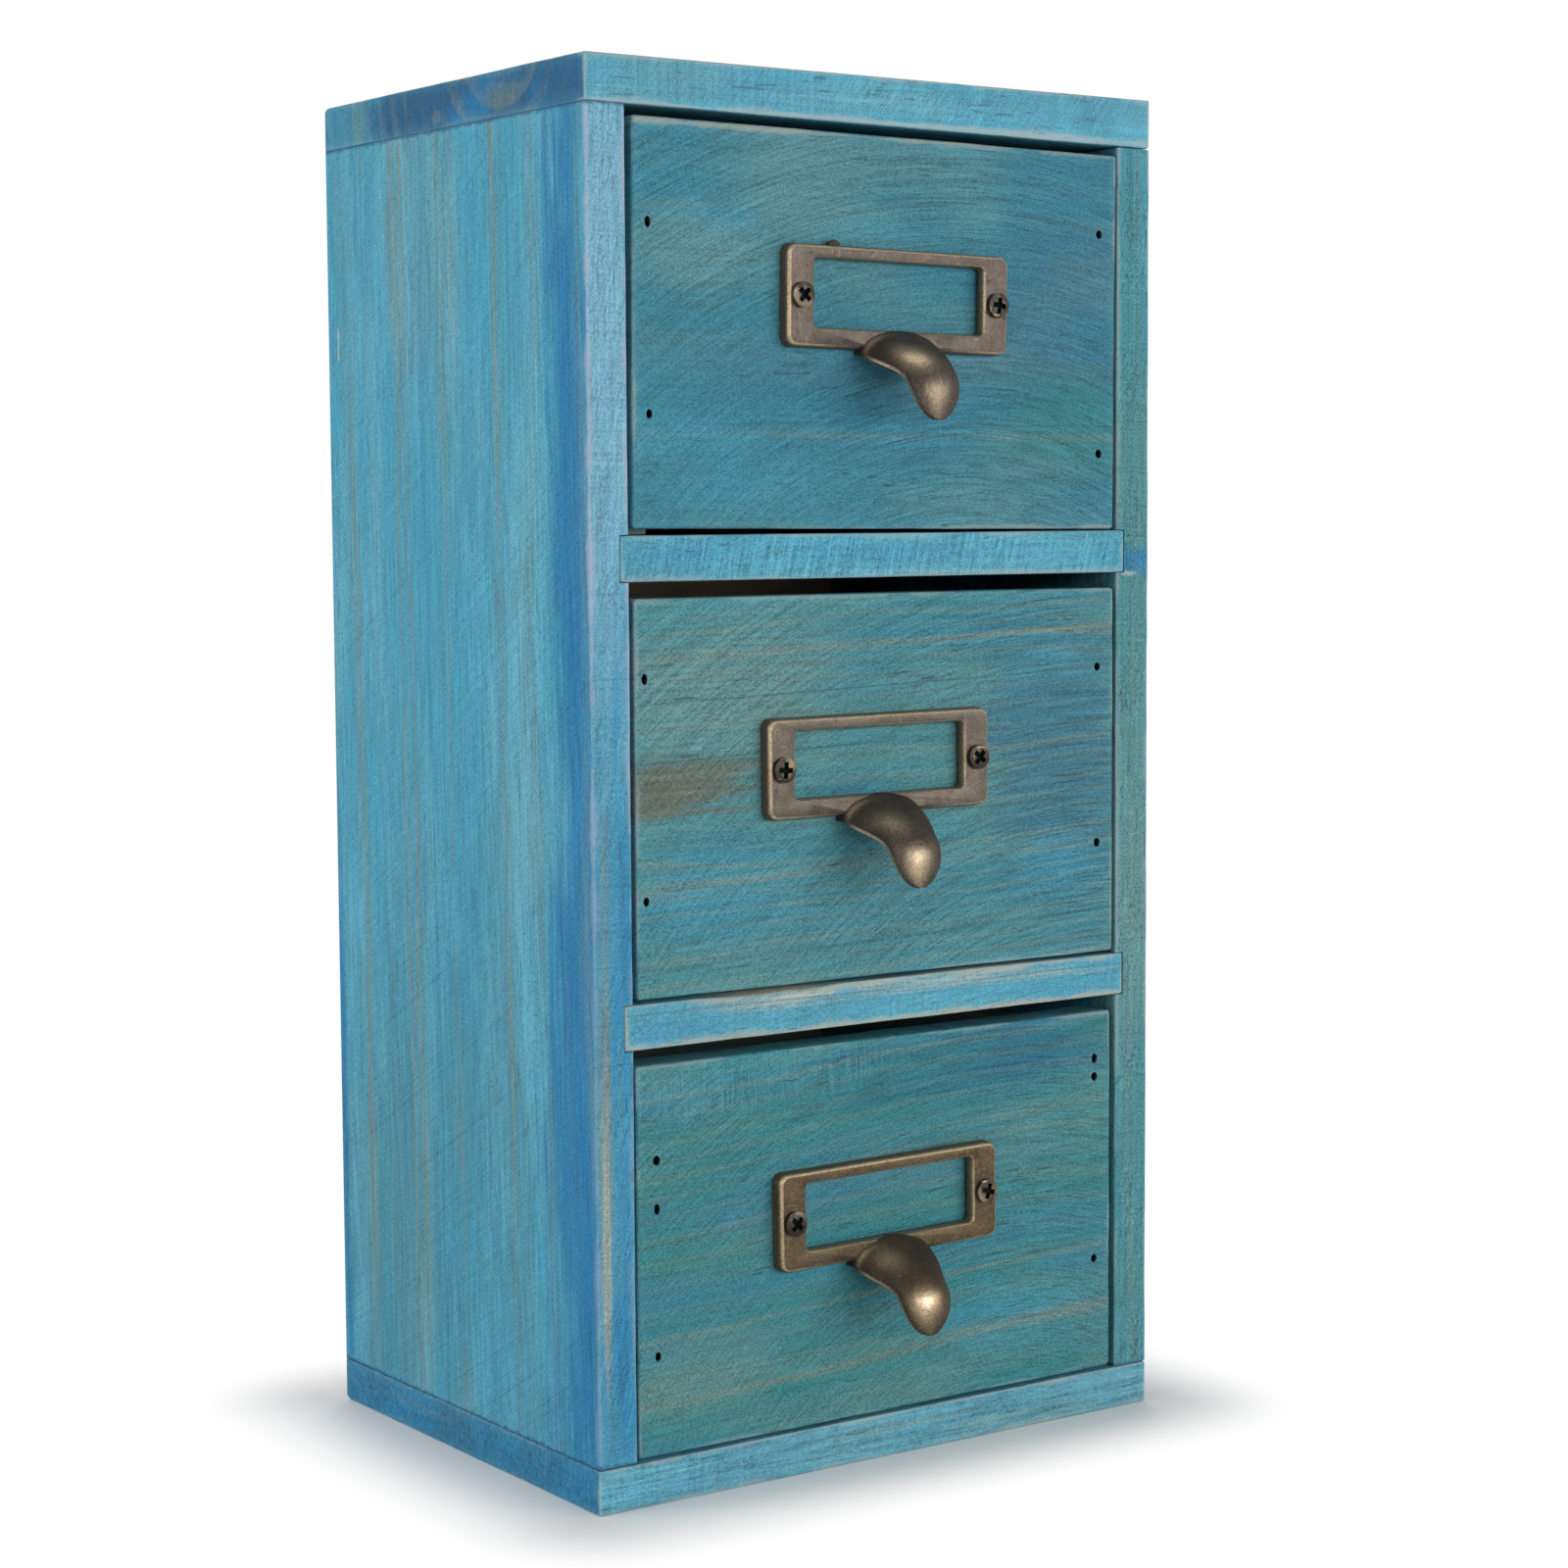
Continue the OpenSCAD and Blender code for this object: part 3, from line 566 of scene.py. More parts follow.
def thin_pine(name, node, look):
    """Pine of the drawer boxes: pale wood under a thin, streaked wash."""
    hue = colours()
    low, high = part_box(node)
    material, b, shader = new_material(name)
    source = b.put("ShaderNodeTexCoord").outputs
    place = board_place(b, source["Object"], look, low, high)
    spot = b.millimetres(source["Object"])
    figure = board_figure(b, place, look)
    wear = board_wear(b, spot, low, high, 0.7, 1.0, look["seed"])
    streaked = b.scaled(figure["Fibre"], 0.3, figure["Pooling"])
    wash = b.step(streaked, 0.2, 0.75, 0.5, 0.95)
    colour = b.mix(wash, hue.box_pine, hue.box_stain)
    colour = b.mix(b.times(figure["Latewood"], 0.5), colour, hue.latewood)
    texture = b.scaled(figure["Fuzz"], 0.14, b.times(figure["Fibre"], 0.2))
    colour = b.shade(colour, b.plus(texture, 1.0))
    colour = b.mix(b.times(figure["Pores"], 0.5), colour, hue.fibre_dark)
    colour = b.mix(b.times(wear["Wear"], 0.6), colour, hue.bare_wood)
    rough = b.scaled(figure["Fibre"], 0.08, 0.66)
    height = b.scaled(figure["Fibre"], 0.5, b.times(figure["Latewood"], 0.6))
    height = b.scaled(figure["Pores"], -1.0, height)
    finish_surface(b, shader, colour, rough, height, 0.08 * MM, WOOD_SPECULAR)
    return material


def plywood(name, node, look):
    """Three-ply board: face veneer with a fine figure, and its plies on the edges."""
    hue = colours()
    low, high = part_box(node)
    material, b, shader = new_material(name)
    source = b.put("ShaderNodeTexCoord").outputs
    place = board_place(b, source["Object"], look, low, high)
    figure = board_figure(b, place, look)
    thickness = min(high[i] - low[i] for i in range(3)) / MM
    layer = b.sum("DIVIDE", b.sum("ABSOLUTE", b.parts(place)[2]), thickness / 2)
    core = b.step(layer, 1 / PLIES, 1 / PLIES + 0.06, 1.0, 0.0)
    out = b.sum("ABSOLUTE", b.vector("DOT_PRODUCT", source["Normal"], board_axes(look)[2]))
    edge = b.step(out, 0.4, 0.8, 1.0, 0.0)
    colour = b.mix(b.step(figure["Pooling"], 0.35, 0.7, 0.0, 0.35), hue.plywood, hue.box_stain)
    colour = b.mix(b.times(figure["Latewood"], 0.35), colour, hue.glue_line)
    colour = b.mix(b.times(edge, b.scaled(core, 0.6, 0.15)), colour, hue.glue_line)
    texture = b.scaled(figure["Fuzz"], 0.1, b.times(figure["Fibre"], 0.16))
    colour = b.shade(colour, b.plus(texture, 1.0))
    colour = b.mix(b.times(figure["Pores"], 0.45), colour, hue.glue_line)
    rough = b.scaled(figure["Fibre"], 0.06, 0.68)
    height = b.scaled(figure["Fibre"], 0.5, b.times(figure["Pores"], -0.8))
    finish_surface(b, shader, colour, rough, height, 0.06 * MM, WOOD_SPECULAR)
    return material


def pit_wall():
    """Crushed fibres in the brad pits, black with stain."""
    hue = colours()
    material, b, shader = new_material("pit_wall")
    spot = b.millimetres(b.put("ShaderNodeTexCoord").outputs["Object"])
    torn = b.noise(spot, (2.5, 2.5, 2.5), 3.0, 0.6)
    colour = b.mix(b.step(torn, 0.5, 0.75, 0.0, 0.5), hue.pit_dark, hue.fibre_dark)
    finish_surface(b, shader, colour, b.scaled(torn, 0.2, 0.7), torn, 0.1 * MM, SPLINTER_SPECULAR)
    return material


def bare_splinter():
    """Fresh wood in a chip or a dent."""
    hue = colours()
    material, b, shader = new_material("bare_splinter")
    spot = b.millimetres(b.put("ShaderNodeTexCoord").outputs["Object"])
    fibre = b.noise(spot, (1.5, 1.5, 0.4), 3.0, 0.6)
    colour = b.mix(b.step(fibre, 0.35, 0.65), hue.pale_stain, hue.bare_wood)
    finish_surface(b, shader, colour, b.scaled(fibre, 0.2, 0.6), fibre, 0.1 * MM, SPLINTER_SPECULAR)
    return material


def antique_brass(name, face, seed):
    """Cast brass with a brown patina and pits; painted shade darkens the pull's root, flanks and underside and round
    the frame's foot and hollow, the frame's edges are rubbed bright with painted highlight lines, and painted
    highlights brighten the pull's tip and upper flank.
    """
    hue = colours()
    material, b, shader = new_material(name)
    source = b.put("ShaderNodeTexCoord").outputs
    spot = b.millimetres(source["Object"])
    patina = b.effect("cast_patina", place=spot, seed=seed)
    # The first attribute brightens: real rubbing and painted highlight lines on the frame's edges, and painted
    # highlights on the pull. The second is painted shade over the pull away from its highlights and round the frame's
    # foot and hollow
    rub_and_highlight = b.put("ShaderNodeAttribute", attribute_name="rub_and_highlight", attribute_type="GEOMETRY").outputs["Fac"]
    painted_shade = b.put("ShaderNodeAttribute", attribute_name="painted_shade", attribute_type="GEOMETRY").outputs["Fac"]
    cloud = b.step(patina["Clouds"], 0.36, 0.66)
    colour = b.mix(b.times(cloud, 0.35), face, hue.brass_patina_and_shade)
    dark = b.times(painted_shade, b.scaled(cloud, 0.3, 0.7), clamp=True)
    colour = b.mix(dark, colour, hue.brass_patina_and_shade)
    bright = b.times(rub_and_highlight, b.scaled(patina["Clouds"], 0.9, 0.35), clamp=True)
    colour = b.mix(bright, colour, hue.brass_rub_and_highlight)
    colour = b.shade(colour, b.scaled(patina["Grain"], 1.0, 1.0))
    colour = b.mix(b.times(patina["Pits"], 0.35), colour, hue.brass_patina_and_shade)
    colour = b.mix(b.times(patina["Scratches"], b.scaled(dark, -0.1, 0.12)), colour, hue.brass_rub_and_highlight)
    rough = b.scaled(bright, -0.14, b.scaled(dark, 0.22, 0.46))
    rough = b.scaled(patina["Grain"], 0.12, rough)
    # Less metallic under the painted shade, so that it does not mirror the white sky
    b.feed(shader.inputs["Metallic"], b.scaled(dark, -0.55, 0.85))
    height = b.scaled(patina["Clouds"], 1.2, b.times(patina["Grain"], 0.22))
    height = b.scaled(patina["Pits"], -0.8, height)
    height = b.scaled(patina["Scratches"], -0.3, height)
    finish_surface(b, shader, colour, rough, height, 0.05 * MM, METAL_SPECULAR)
    return material


def plain_metal(name, base, worn, seed, roughness):
    """Screws, brads and pins: blotched finish with brighter scratches, and painted shade in the cross recess."""
    material, b, shader = new_material(name)
    spot = b.millimetres(b.put("ShaderNodeTexCoord").outputs["Object"])
    patina = b.effect("cast_patina", place=spot, seed=seed)
    colour = b.mix(b.step(patina["Clouds"], 0.45, 0.7, 0.0, 0.35), base, worn)
    colour = b.mix(b.times(patina["Scratches"], 0.4), colour, worn)
    turned = b.sum("ABSOLUTE", b.parts(b.put("ShaderNodeTexCoord").outputs["Normal"])[1])
    rim = b.times(b.step(turned, 0.25, 0.6), b.step(turned, 0.85, 0.97, 1.0, 0.0))
    colour = b.mix(b.times(rim, 0.35), colour, worn)
    colour = b.shade(colour, b.scaled(patina["Grain"], 0.5, 1.0))
    # Painted shade: the screws' cross recesses are made near black
    recess = b.put("ShaderNodeAttribute", attribute_name="recess", attribute_type="GEOMETRY").outputs["Fac"]
    colour = b.mix(b.times(recess, 0.9), colour, colours().pit_dark)
    rough = b.scaled(patina["Grain"], 0.08, roughness)
    rough = b.scaled(recess, 0.5, rough)
    finish_surface(b, shader, colour, rough, patina["Grain"], 0.012 * MM, METAL_SPECULAR)
    b.feed(shader.inputs["Metallic"], b.scaled(recess, 0.3, 0.7))
    return material


def new_object(name, mesh):
    piece = bpy.data.objects.new(name, mesh)
    bpy.context.scene.collection.objects.link(piece)
    return piece


def mesh_from(name, points, faces):
    mesh = bpy.data.meshes.new(name)
    mesh.from_pydata([tuple(p) for p in points], [], [tuple(f) for f in faces])
    mesh.update()
    return mesh


def mesh_of(name, work):
    """Mesh of a finished edit mesh."""
    mesh = bpy.data.meshes.new(name)
    work.to_mesh(mesh)
    work.free()
    return mesh


def eased_lines(low, high, arris, cell):
    """Grid lines across a board: close together on the eased edges and a cell apart between them."""
    ease = [arris * (1 - math.tan(math.radians(a))) for a in (45, 30, 15)]
    count = max(2, round((high - low - 2 * arris) / cell))
    inner = np.linspace(low + arris, high - arris, count + 1)
    return np.concatenate([[low + e for e in ease], inner, [high - e for e in reversed(ease)]])


def plank_mesh(name, low, high, arris, seed, chips=()):
    """A board with eased, slightly uneven arrises and gentle hollows, as a grid of quads."""
    gap = sizes().joint_line / 2
    low = np.array(low) + gap
    high = np.array(high) - gap
    lines = [eased_lines(low[i], high[i], arris, sizes().cell) for i in range(3)]
    count = [len(line) for line in lines]
    ids = np.arange(np.prod(count)).reshape(count)
    quads = []
    for axis in range(3):
        near, far = ids.take(0, axis), ids.take(-1, axis)
        for side, outward in ((near, axis == 1), (far, axis != 1)):
            a, b, c, d = side[:-1, :-1], side[1:, :-1], side[1:, 1:], side[:-1, 1:]
            order = (a, b, c, d) if outward else (a, d, c, b)
            quads.append(np.stack(order, -1).reshape(-1, 4))
    used, faces = np.unique(np.concatenate(quads), return_inverse=True)
    faces = faces.reshape(-1, 4)
    grid = np.stack(np.unravel_index(used, count), -1)
    points = np.stack([lines[i][grid[:, i]] for i in range(3)], -1)
    middle, half = (low + high) / 2, (high - low) / 2
    drift = Vector((seed * 3.1, seed * 7.7, seed * 5.3))
    wobble = np.array([noise.noise(Vector(p) * WOBBLE_RATE + drift) for p in points])
    hollow = np.array([noise.noise(Vector(p) * HOLLOW_RATE + drift) for p in points])
    radius = arris * (1 + ARRIS_SPREAD * wobble)[:, None]
    inner = np.clip(points - middle, radius - half, half - radius)
    out = points - middle - inner
    out /= np.linalg.norm(out, axis=1)[:, None]
    depth = sizes().waviness * np.clip(0.5 + hollow, 0, 1)[:, None]
    points = middle + inner + out * (radius - depth)
    for centre, reach, push in chips:
        off = (points - np.array(centre)) / np.array(reach)
        share = np.clip(1 - (off**2).sum(1), 0, 1)[:, None]
        points = points + share * np.array(push)
    return mesh_from(name, points, faces)


def box_mesh(name, low, high):
    corners = [(x, y, z) for x in (low[0], high[0]) for y in (low[1], high[1]) for z in (low[2], high[2])]
    faces = ((0, 1, 3, 2), (4, 6, 7, 5), (0, 4, 5, 1), (2, 3, 7, 6), (0, 2, 6, 4), (1, 5, 7, 3))
    return mesh_from(name, corners, faces)


def rounding_waste(name, corner, turn_a, turn_b, run, radius):
    """Prism that rounds a board's edge: corner is on the edge, turn_a and turn_b point into the board from it."""
    over = 2 * MM
    a, b, along = Vector(turn_a), Vector(turn_b), Vector(run)
    outline = [(-over, radius), (-over, -over), (radius, -over)]
    outline += [
        (radius - radius * math.sin(t), radius - radius * math.cos(t))
        for t in (math.radians(90 * k / 10) for k in range(11))
    ]
    ring = [Vector(corner) + a * u + b * v for u, v in outline]
    points = [p - along for p in ring] + [p + along for p in ring]
    count = len(ring)
    faces = [tuple(range(count)), tuple(range(2 * count - 1, count - 1, -1))]
    faces += [(i, i + count, (i + 1) % count + count, (i + 1) % count) for i in range(count)]
    mesh = mesh_from(name, points, faces)
    tidy_normals(mesh)
    return mesh


def tidy_normals(mesh):
    work = bmesh.new()
    work.from_mesh(mesh)
    bmesh.ops.remove_doubles(work, verts=work.verts, dist=1e-7)
    bmesh.ops.recalc_face_normals(work, faces=work.faces)
    work.to_mesh(mesh)
    work.free()


def settle(piece):
    """Turns a piece's modifiers into plain mesh."""
    graph = bpy.context.evaluated_depsgraph_get()
    mesh = bpy.data.meshes.new_from_object(piece.evaluated_get(graph))
    piece.modifiers.clear()
    old, piece.data = piece.data, mesh
    mesh.name = piece.name
    bpy.data.meshes.remove(old)


def carve(piece, cutter, operation="DIFFERENCE"):
    """Cuts a mesh out of a piece, or joins it on, and takes its material along."""
    tool = new_object("cutter", cutter) if isinstance(cutter, bpy.types.Mesh) else cutter
    modifier = piece.modifiers.new("carve", "BOOLEAN")
    modifier.object, modifier.operation = tool, operation
    modifier.solver, modifier.material_mode = "EXACT", "TRANSFER"
    settle(piece)
    bpy.data.objects.remove(tool)


def smooth(piece, angle=32):
    piece.data.shade_smooth()
    piece.data.set_sharp_from_angle(angle=math.radians(angle))


def place_piece(piece, body, slot, *nodes):
    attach(piece, body)
    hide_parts(*nodes)


def grown(node, by):
    low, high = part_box(node)
    spread = Vector((by, by, by))
    return low - spread, high + spread


def solids_of(node):
    """Boxes of the separate solids in a CAD node."""
    work = bmesh.new()
    work.from_mesh(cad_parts[node].data)
    bmesh.ops.remove_doubles(work, verts=work.verts, dist=1e-6)
    left, boxes = set(work.verts), []
    while left:
        start = left.pop()
        island, edge = [start], [start]
        while edge:
            for link in edge.pop().link_edges:
                for vert in link.verts:
                    if vert in left:
                        left.remove(vert)
                        island.append(vert)
                        edge.append(vert)
        spots = np.array([v.co for v in island])
        boxes.append((spots.min(0), spots.max(0)))
    work.free()
    return sorted(boxes, key=lambda box: tuple(box[0]))


def node_tree(name, inputs):
    """A Geometry Nodes tree with named inputs, as (bench, inputs, output node)."""
    tree = bpy.data.node_groups.new(name, "GeometryNodeTree")
    tree.interface.new_socket(name="Geometry", in_out="INPUT", socket_type="NodeSocketGeometry")
    for label, kind in inputs:
        tree.interface.new_socket(name=label, in_out="INPUT", socket_type="NodeSocket" + kind)
    tree.interface.new_socket(name="Geometry", in_out="OUTPUT", socket_type="NodeSocketGeometry")
    bench = Bench(tree)
    return bench, bench.put("NodeGroupInput").outputs, bench.put("NodeGroupOutput").inputs


def grow_on_points(name, tree, spots, values, attributes=None):
    """Runs a tree on loose points and returns the plain object that it makes."""
    mesh = mesh_from(name, spots, ())
    for label, numbers in (attributes or {}).items():
        mesh.attributes.new(label, "FLOAT", "POINT").data.foreach_set("value", numbers)
    piece = new_object(name, mesh)
    modifier = piece.modifiers.new(name, "NODES")
    modifier.node_group = bpy.data.node_groups[tree]
    for item in modifier.node_group.interface.items_tree:
        if item.in_out == "INPUT" and item.name in values:
            modifier[item.identifier] = values[item.name]
    settle(piece)
    return piece


def lifted(bench, geometry, height):
    """A geometry moved up by a height."""
    move = bench.join(0.0, 0.0, height)
    return bench.put("GeometryNodeTransform", {"Geometry": geometry, "Translation": move}).outputs[0]


def joined(bench, operation, first, second):
    """Union or overlap of two solids."""
    node = bench.put("GeometryNodeMeshBoolean", {"Mesh 2": first}, operation=operation, solver="EXACT")
    bench.feed(node.inputs["Mesh 2"], second)
    return node.outputs[0]


def stand_on_points(bench, given, made, feeds):
    """Stands a solid on a tree's points, as plain mesh with the tree's material."""
    spread = bench.put("GeometryNodeInstanceOnPoints", {"Points": given["Geometry"], **feeds})
    real = bench.put("GeometryNodeRealizeInstances", {0: spread.outputs[0]})
    painted = bench.put("GeometryNodeSetMaterial", {"Geometry": real.outputs[0], "Material": given["Material"]})
    bench.feed(made[0], painted.outputs[0])


# Least and most that a pit's outline is stretched across, up and in depth
PIT_SPREAD = ((0.8, 0.95, 1.0), (1.1, 1.5, 1.0))
# Share of its length that a shank is sunk by: just under half, so that its end lies inside the head
SHANK_SINK = -0.499


def make_pit_tree():
    """Ragged plugs over brad heads, used to cut the pits."""
    b, given, made = node_tree(
        "brad_pits",
        (("Diameter", "Float"), ("Depth", "Float"), ("Turn", "Vector"), ("Seed", "Int"), ("Material", "Material")),
    )
    radius = b.times(given["Diameter"], 0.5)
    plug = b.put("GeometryNodeMeshCylinder", {"Vertices": 9, "Radius": radius, "Depth": given["Depth"]})
    size = b.put("FunctionNodeRandomValue", {"Seed": given["Seed"]}, data_type="FLOAT_VECTOR")
    size.inputs[0].default_value, size.inputs[1].default_value = PIT_SPREAD
    feeds = {"Instance": plug.outputs[0], "Rotation": given["Turn"], "Scale": size.outputs[0]}
    stand_on_points(b, given, made, feeds)


def make_screw_tree():
    """Pan-head screws with a domed crown and a cross recess, standing on points of the label frame."""
    b, given, made = node_tree(
        "pan_screws",
        (
            ("Head Diameter", "Float"),
            ("Head Height", "Float"),
            ("Crown", "Float"),
            ("Shank Diameter", "Float"),
            ("Shank Length", "Float"),
            ("Cross Width", "Float"),
            ("Cross Length", "Float"),
            ("Cross Depth", "Float"),
            ("Material", "Material"),
        ),
    )
    half = b.times(given["Head Diameter"], 0.5)
    square = b.plus(b.times(half, half), b.times(given["Crown"], given["Crown"]))
    ball_r = b.sum("DIVIDE", square, b.times(given["Crown"], 2.0))
    ball = b.put("GeometryNodeMeshUVSphere", {"Segments": 48, "Rings": 96, "Radius": ball_r})
    ball = lifted(b, ball.outputs[0], b.less(given["Head Height"], ball_r))
    drum = b.put("GeometryNodeMeshCylinder", {"Vertices": 48, "Radius": half, "Depth": given["Head Height"]})
    drum = lifted(b, drum.outputs[0], b.times(given["Head Height"], 0.5))
    head = joined(b, "INTERSECT", drum, ball)
    tall = b.times(given["Cross Depth"], 2.0)
    one = b.put("GeometryNodeMeshCube", {"Size": b.join(given["Cross Length"], given["Cross Width"], tall)})
    two = b.put("GeometryNodeMeshCube", {"Size": b.join(given["Cross Width"], given["Cross Length"], tall)})
    cross = lifted(b, joined(b, "UNION", one.outputs[0], two.outputs[0]), given["Head Height"])
    marks = {"Geometry": cross, "Name": "recess", "Value": 1.0}
    cross = b.put("GeometryNodeStoreNamedAttribute", marks, domain="FACE").outputs[0]
    solids = {"Mesh 1": head, "Mesh 2": cross}
    cut = b.put("GeometryNodeMeshBoolean", solids, operation="DIFFERENCE", solver="EXACT").outputs[0]
    shank_r = b.times(given["Shank Diameter"], 0.5)
    shank = b.put("GeometryNodeMeshCylinder", {"Vertices": 24, "Radius": shank_r, "Depth": given["Shank Length"]})
    shank = lifted(b, shank.outputs[0], b.times(given["Shank Length"], SHANK_SINK))
    screw = joined(b, "UNION", cut, shank)
    turn = b.put("GeometryNodeInputNamedAttribute", {"Name": "turn"}, data_type="FLOAT").outputs[0]
    stand = b.join(math.pi / 2, turn, 0.0)
    stand_on_points(b, given, made, {"Instance": screw, "Rotation": stand})


def brad_pits(name, node, out, surface):
    """Cutters for the pits over a node's brads; out is the way their heads face, surface where the wood ends."""
    axis = max(range(3), key=lambda i: abs(out[i]))
    sign = out[axis]
    spots, depth = [], 0.0
    for low, high in solids_of(node):
        head = (high if sign > 0 else low)[axis]
        if (surface - head) * sign < 0 or abs(surface - head) > DEEPEST_PIT:
            continue
        spot = (low + high) / 2
        depth = abs(surface - head) + MM
        spot[axis] = head + sign * depth / 2
        spots.append(spot)
    turn = ((0.0, math.pi / 2, 0.0), (math.pi / 2, 0.0, 0.0), (0.0, 0.0, 0.0))[axis]
    values = {
        "Diameter": sizes().pit_d,
        "Depth": depth,
        "Turn": turn,
        "Seed": sizes().pit_seed,
        "Material": bpy.data.materials["pit_wall"],
    }
    return grow_on_points(name, "brad_pits", spots, values)


# What a board looks like where its own look says nothing else; lengths in board millimetres, angles in degrees
PLAIN_LOOK = {
    "lean": 0.0,
    "pool_range": (0.42, 0.66),
    "thin": 0.45,
    "patches": (),
    "late": 0.5,
    "streaks": (),
    "end": 0.0,
    "end_late": 0.4,
    "end_patches": (),
    "front": 0.0,
    "front_patches": (),
    "hatch": (70.0, 0.0),
    "fibre": 0.5,
    "fuzz": 0.6,
    "sander": (30.0, -140.0),
    "sanding": 0.7,
    "cuts": 0.3,
    "pores": 0.55,
    "rim": 0.15,
    "wear": 0.8,
    "wear_from": (-1.0, 0.0, 1.0),
    "wear_tone": "worn_wood",
    "wear_share": 0.8,
    "seam": 0.0,
}


def pine_look(grain, across, seed, pith, rings, waver, **more):
    """Look of one board: axes along and across the grain, seed, pith, ring width and waver, and what differs."""
    look = {"grain": grain, "across": across, "seed": seed, "pith": pith, "rings": rings, "waver": waver}
    return {**PLAIN_LOOK, **look, **more}


